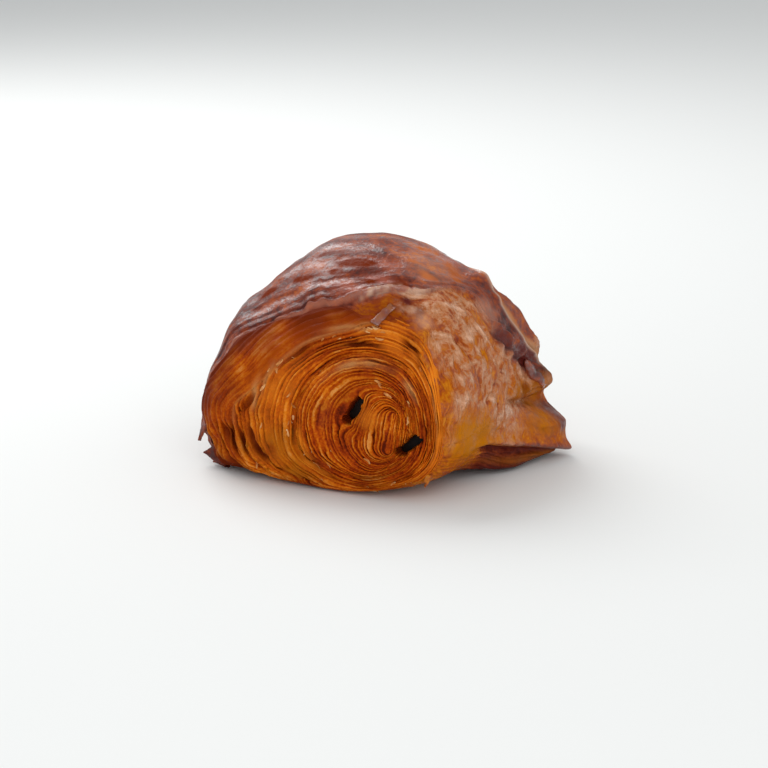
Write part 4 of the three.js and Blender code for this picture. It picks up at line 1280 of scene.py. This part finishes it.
def flap():
    stations = np.arange(len(FLAP))
    fine = np.linspace(0, stations[-1], FLAP_SIDES["rows"])
    y, angle, radius = (np.interp(fine, stations, column) for column in zip(*FLAP))
    path = roll_point(dome_share(y, angle), angle, y, skin_level(angle, y) + 0.4)
    ahead = np.gradient(path, axis=0)
    ahead /= np.linalg.norm(ahead, axis=-1, keepdims=True)
    out = np.stack([np.cos(np.radians(angle)), 0 * y, np.sin(np.radians(angle))], -1)
    side = np.cross(ahead, out)
    turn = np.linspace(0, 2 * np.pi, FLAP_SIDES["columns"], endpoint=False)[None, :, None]
    ring = FLAP_SIDES["wide"] * np.cos(turn) * side[:, None]
    ring = ring + FLAP_SIDES["high"] * np.sin(turn) * out[:, None]
    grid = path[:, None] + ring * radius[:, None, None]
    grid = grid + FLAP_SIDES["uneven"] * noise(grid, 1.8)[..., None] * ring
    paint = {"brown": 0.5 + 0.35 * noise(grid, 2.2), "plum": np.clip(0.2 + 0.4 * noise(grid, 2.5, 5), 0, 1)}
    paint["gloss"] = np.full(paint["brown"].shape, 0.9)
    ends = (path[0] - ahead[0] * FLAP_SIDES["end"], path[-1] + ahead[-1] * FLAP_SIDES["end"])
    return grid_piece("rolled_flap", grid, paint, poles=ends)


# %% Scraps of single leaves, as the corners of root and tip in mm, thickness, and how brown and plum they are
SCRAPS = {
    "scrap_left_high": (((-41.4, -22.5, 21), (-37.4, -29.4, 12.5)), ((-41.5, -27, 7.2), (-41.3, -27, 7.1)),
                        0.8, 0.6, 0),
    "scrap_left_low": (((-35.5, -27.5, 7.6), (-32, -28.5, 0.6)), ((-40.2, -26.5, 3.9), (-39.9, -26.5, 3.2)),
                       1.2, 0.85, 0),
    "scrap_left_base": (((-35, -27, 3.4), (-31.5, -27.5, 0.3)), ((-37.4, -26, 1.4), (-37.2, -26, 0.6)),
                        0.9, 0.8, 0),
    "scrap_amber": (((15.0, -33.2, 49.1), (17.3, -33.0, 48.0)), ((18.7, -27.5, 53.5), (20.6, -27.7, 52.5)),
                    0.6, 0.3, 0.62),
    "scrap_drip": (((33.6, -38.2, 8.2), (35.0, -36.6, 7.9)), ((32.2, -35.6, 4.0), (32.5, -35.5, 4.0)),
                   0.6, 0.1, 0)}
BLADE = {"rows": 24, "columns": 9, "bend": 0.4, "ragged": 0.5}


def scrap(name, root, tip, thick, brown, plum):
    (root_a, root_b), (tip_a, tip_b) = np.array(root, float), np.array(tip, float)
    along = np.linspace(0, 1, BLADE["rows"])[:, None, None]
    across = np.linspace(0, 1, BLADE["columns"])
    across = np.concatenate([across, across[::-1]])[None, :, None]
    width = root_b - root_a
    face = np.cross(width, tip_a - root_a)
    face /= np.linalg.norm(face)
    sheet = mix(mix(root_a, root_b, across), mix(tip_a, tip_b, across), along)
    sheet = sheet + face * BLADE["bend"] * np.sin(3 * along + 4 * across) * along
    edge = BLADE["ragged"] * noise(sheet, 1.3)[..., None] * width / np.linalg.norm(width)
    side = np.repeat((0.5, -0.5), BLADE["columns"])[None, :, None] * thick * (1 - 0.7 * along)
    grid = sheet + edge * np.sin(np.pi * along) + face * side
    brown = brown + 0.25 * noise(grid, 4)
    paint = {"brown": brown, "plum": 0 * brown + plum, "gloss": 0 * brown + 0.3 + 1.2 * plum}
    return grid_piece(name, grid, paint, poles=(grid[0].mean(0), grid[-1].mean(0)), outward=False)


loose = [flap()] + [scrap(name, *facts) for name, facts in SCRAPS.items()]
for piece in loose:
    piece.data.materials.append(CRUST)

# %% [markdown]
# ## Flakes and the rear end
# Crisp bits of single leaves lie on the front end. They could be placed one by one, but they are many and
# all alike, so the flake tree scatters them where the points are marked flaky. The rear end is a spiral like
# the front one, but nothing has pulled its leaves apart, so one disc and a plain count of turns make it.

# %% Flakes on the front end
FLAKE_TREE = flake_tree()
centre = [float(v) for v in (np.array([FRONT_CORE[0], -40, FRONT_CORE[1]]) + SHIFT) * MM]
crisp = []
for name, leaves in (("core_flakes", core), ("outer_flakes", outer)):
    flakes = bpy.data.objects.new(name, leaves.data.copy())
    bpy.context.scene.collection.objects.link(flakes)
    crisp.append(run_tree(flakes, FLAKE_TREE, {"Centre": centre, "Material": FLAKE}))
    print(name, "has", len(flakes.data.polygons), "faces")


# %% The rear end
REAR = {"columns": 540, "rows": 160, "shares": (0.02, 0.88), "leaf share": 0.042}


def rear_leaves():
    angle = np.linspace(-90, 270, REAR["columns"], endpoint=False)[None, :]
    share = np.linspace(*REAR["shares"], REAR["rows"])[:, None] + 0 * angle
    angle = angle + 0 * share
    grid = roll_point(share, angle, dome_reach(share, angle))
    x, z = grid[..., 0], grid[..., 2]
    turn = share / REAR["leaf share"] - angle / 360
    depth = 1.1 * smooth(0.03, 0.1, share) * smooth(0.02, -0.02, share - CRUST_SHARE)
    sink = slot_depth(x, z, grid) + 1.3 * smooth(-0.005, 0.03, share - CRUST_SHARE) + 0.3 * noise(grid, 5)
    paint = {"brown": np.clip(0.15 + 0.3 * noise(grid, 8), 0, 1)}
    paint["ochre"] = np.clip(0.8 * noise(grid, 9, 4), 0, 1)
    return sunken(grid, -sink), {"turn": turn, "depth": depth * ground(z), **paint}


grid, attributes = rear_leaves()
rear_end = finish_disc("rear_leaves", grid, attributes, grid[0].mean(0), -1, True,
                       {"Depth": 1.1 * MM, "Waviness": 1.2, "Wave size": 8 * MM, "Gaps": 0.8, "Fine": 0.6,
                        "Seed": 1.1})

# %% [markdown]
# ## The sticks of chocolate
# The two sticks melt a little in the oven and set again in their slots. They could be made anew with rounded
# ends, but they lie so deep that only their tips show. So the solids stay, and get the finish of chocolate.

# %% The sticks keep their solids and get their finish
for name in STICKS:
    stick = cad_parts[name]
    stick.data.materials.clear()
    stick.data.materials.append(CHOCOLATE)
    print(name, "is", round(stick.dimensions.y / MM, 1), "mm long")

# %% Every piece belongs to the one body
for piece in (core, outer, rear_end, *crisp):
    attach(piece, "root")
for piece in (crust, rear, *loose):
    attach(piece, "root")
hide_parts("dough")

# %% [markdown]
# ## Floor, light and camera
# A pale floor and large soft lights show the gloss without hard spots. The camera looks from the right and a
# little above, from where the front end, the lip and the tail all show.

# %% Floor
SIDE = 3.0
mesh = bpy.data.meshes.new("floor")
mesh.from_pydata([(-SIDE, -SIDE, 0), (SIDE, -SIDE, 0), (SIDE, SIDE, 0), (-SIDE, SIDE, 0)], [], [(0, 1, 2, 3)])
floor = bpy.data.objects.new("floor", mesh)
bpy.context.scene.collection.objects.link(floor)
material = bpy.data.materials.new("pale paper")
material.use_nodes = True
material.node_tree.nodes["Principled BSDF"].inputs["Base Color"].default_value = colour("#E9EAE8")
material.node_tree.nodes["Principled BSDF"].inputs["Roughness"].default_value = 0.8
mesh.materials.append(material)


# %% Light
def area_light(name, place, aim, size, power):
    data = bpy.data.lights.new(name, "AREA")
    data.size = size
    data.energy = power
    lamp = bpy.data.objects.new(name, data)
    lamp.location = place
    lamp.rotation_euler = (Vector(aim) - Vector(place)).to_track_quat("-Z", "Y").to_euler()
    bpy.context.scene.collection.objects.link(lamp)


area_light("window", (-0.5, 0.35, 0.65), (0, 0, 0.03), 0.6, 5)
area_light("room", (0.45, -0.7, 0.5), (0, 0, 0.03), 0.7, 3)
world = bpy.data.worlds.new("pale room")
world.use_nodes = True
world.node_tree.nodes["Background"].inputs["Color"].default_value = colour("#EEF0F2")
world.node_tree.nodes["Background"].inputs["Strength"].default_value = 0.7
bpy.context.scene.world = world
bpy.context.scene.view_settings.view_transform = "Standard"

# %% Camera
AZIMUTH, PITCH, DISTANCE, LENS, SENSOR, FRAME_PX = 22.0, 14.7, 750.0, 118.8, 36.0, 768
ORIGIN_PX = (366, 455)


def place_camera():
    a, e = math.radians(AZIMUTH), math.radians(PITCH)
    ahead = np.array([-math.sin(a) * math.cos(e), math.cos(a) * math.cos(e), -math.sin(e)])
    right = np.array([math.cos(a), math.sin(a), 0.0])
    up = np.cross(right, ahead)
    focal_px = FRAME_PX * LENS / SENSOR
    sideways = (ORIGIN_PX[0] - FRAME_PX / 2) / focal_px
    upwards = -(ORIGIN_PX[1] - FRAME_PX / 2) / focal_px
    place = (SHIFT - (ahead + right * sideways + up * upwards) * DISTANCE) * MM
    data = bpy.data.cameras.new("camera")
    data.lens, data.sensor_width = LENS, SENSOR
    camera = bpy.data.objects.new("camera", data)
    rotation = Matrix([right, up, -ahead]).transposed().to_4x4()
    camera.matrix_world = Matrix.Translation(Vector(place)) @ rotation
    bpy.context.scene.collection.objects.link(camera)
    bpy.context.scene.camera = camera


place_camera()
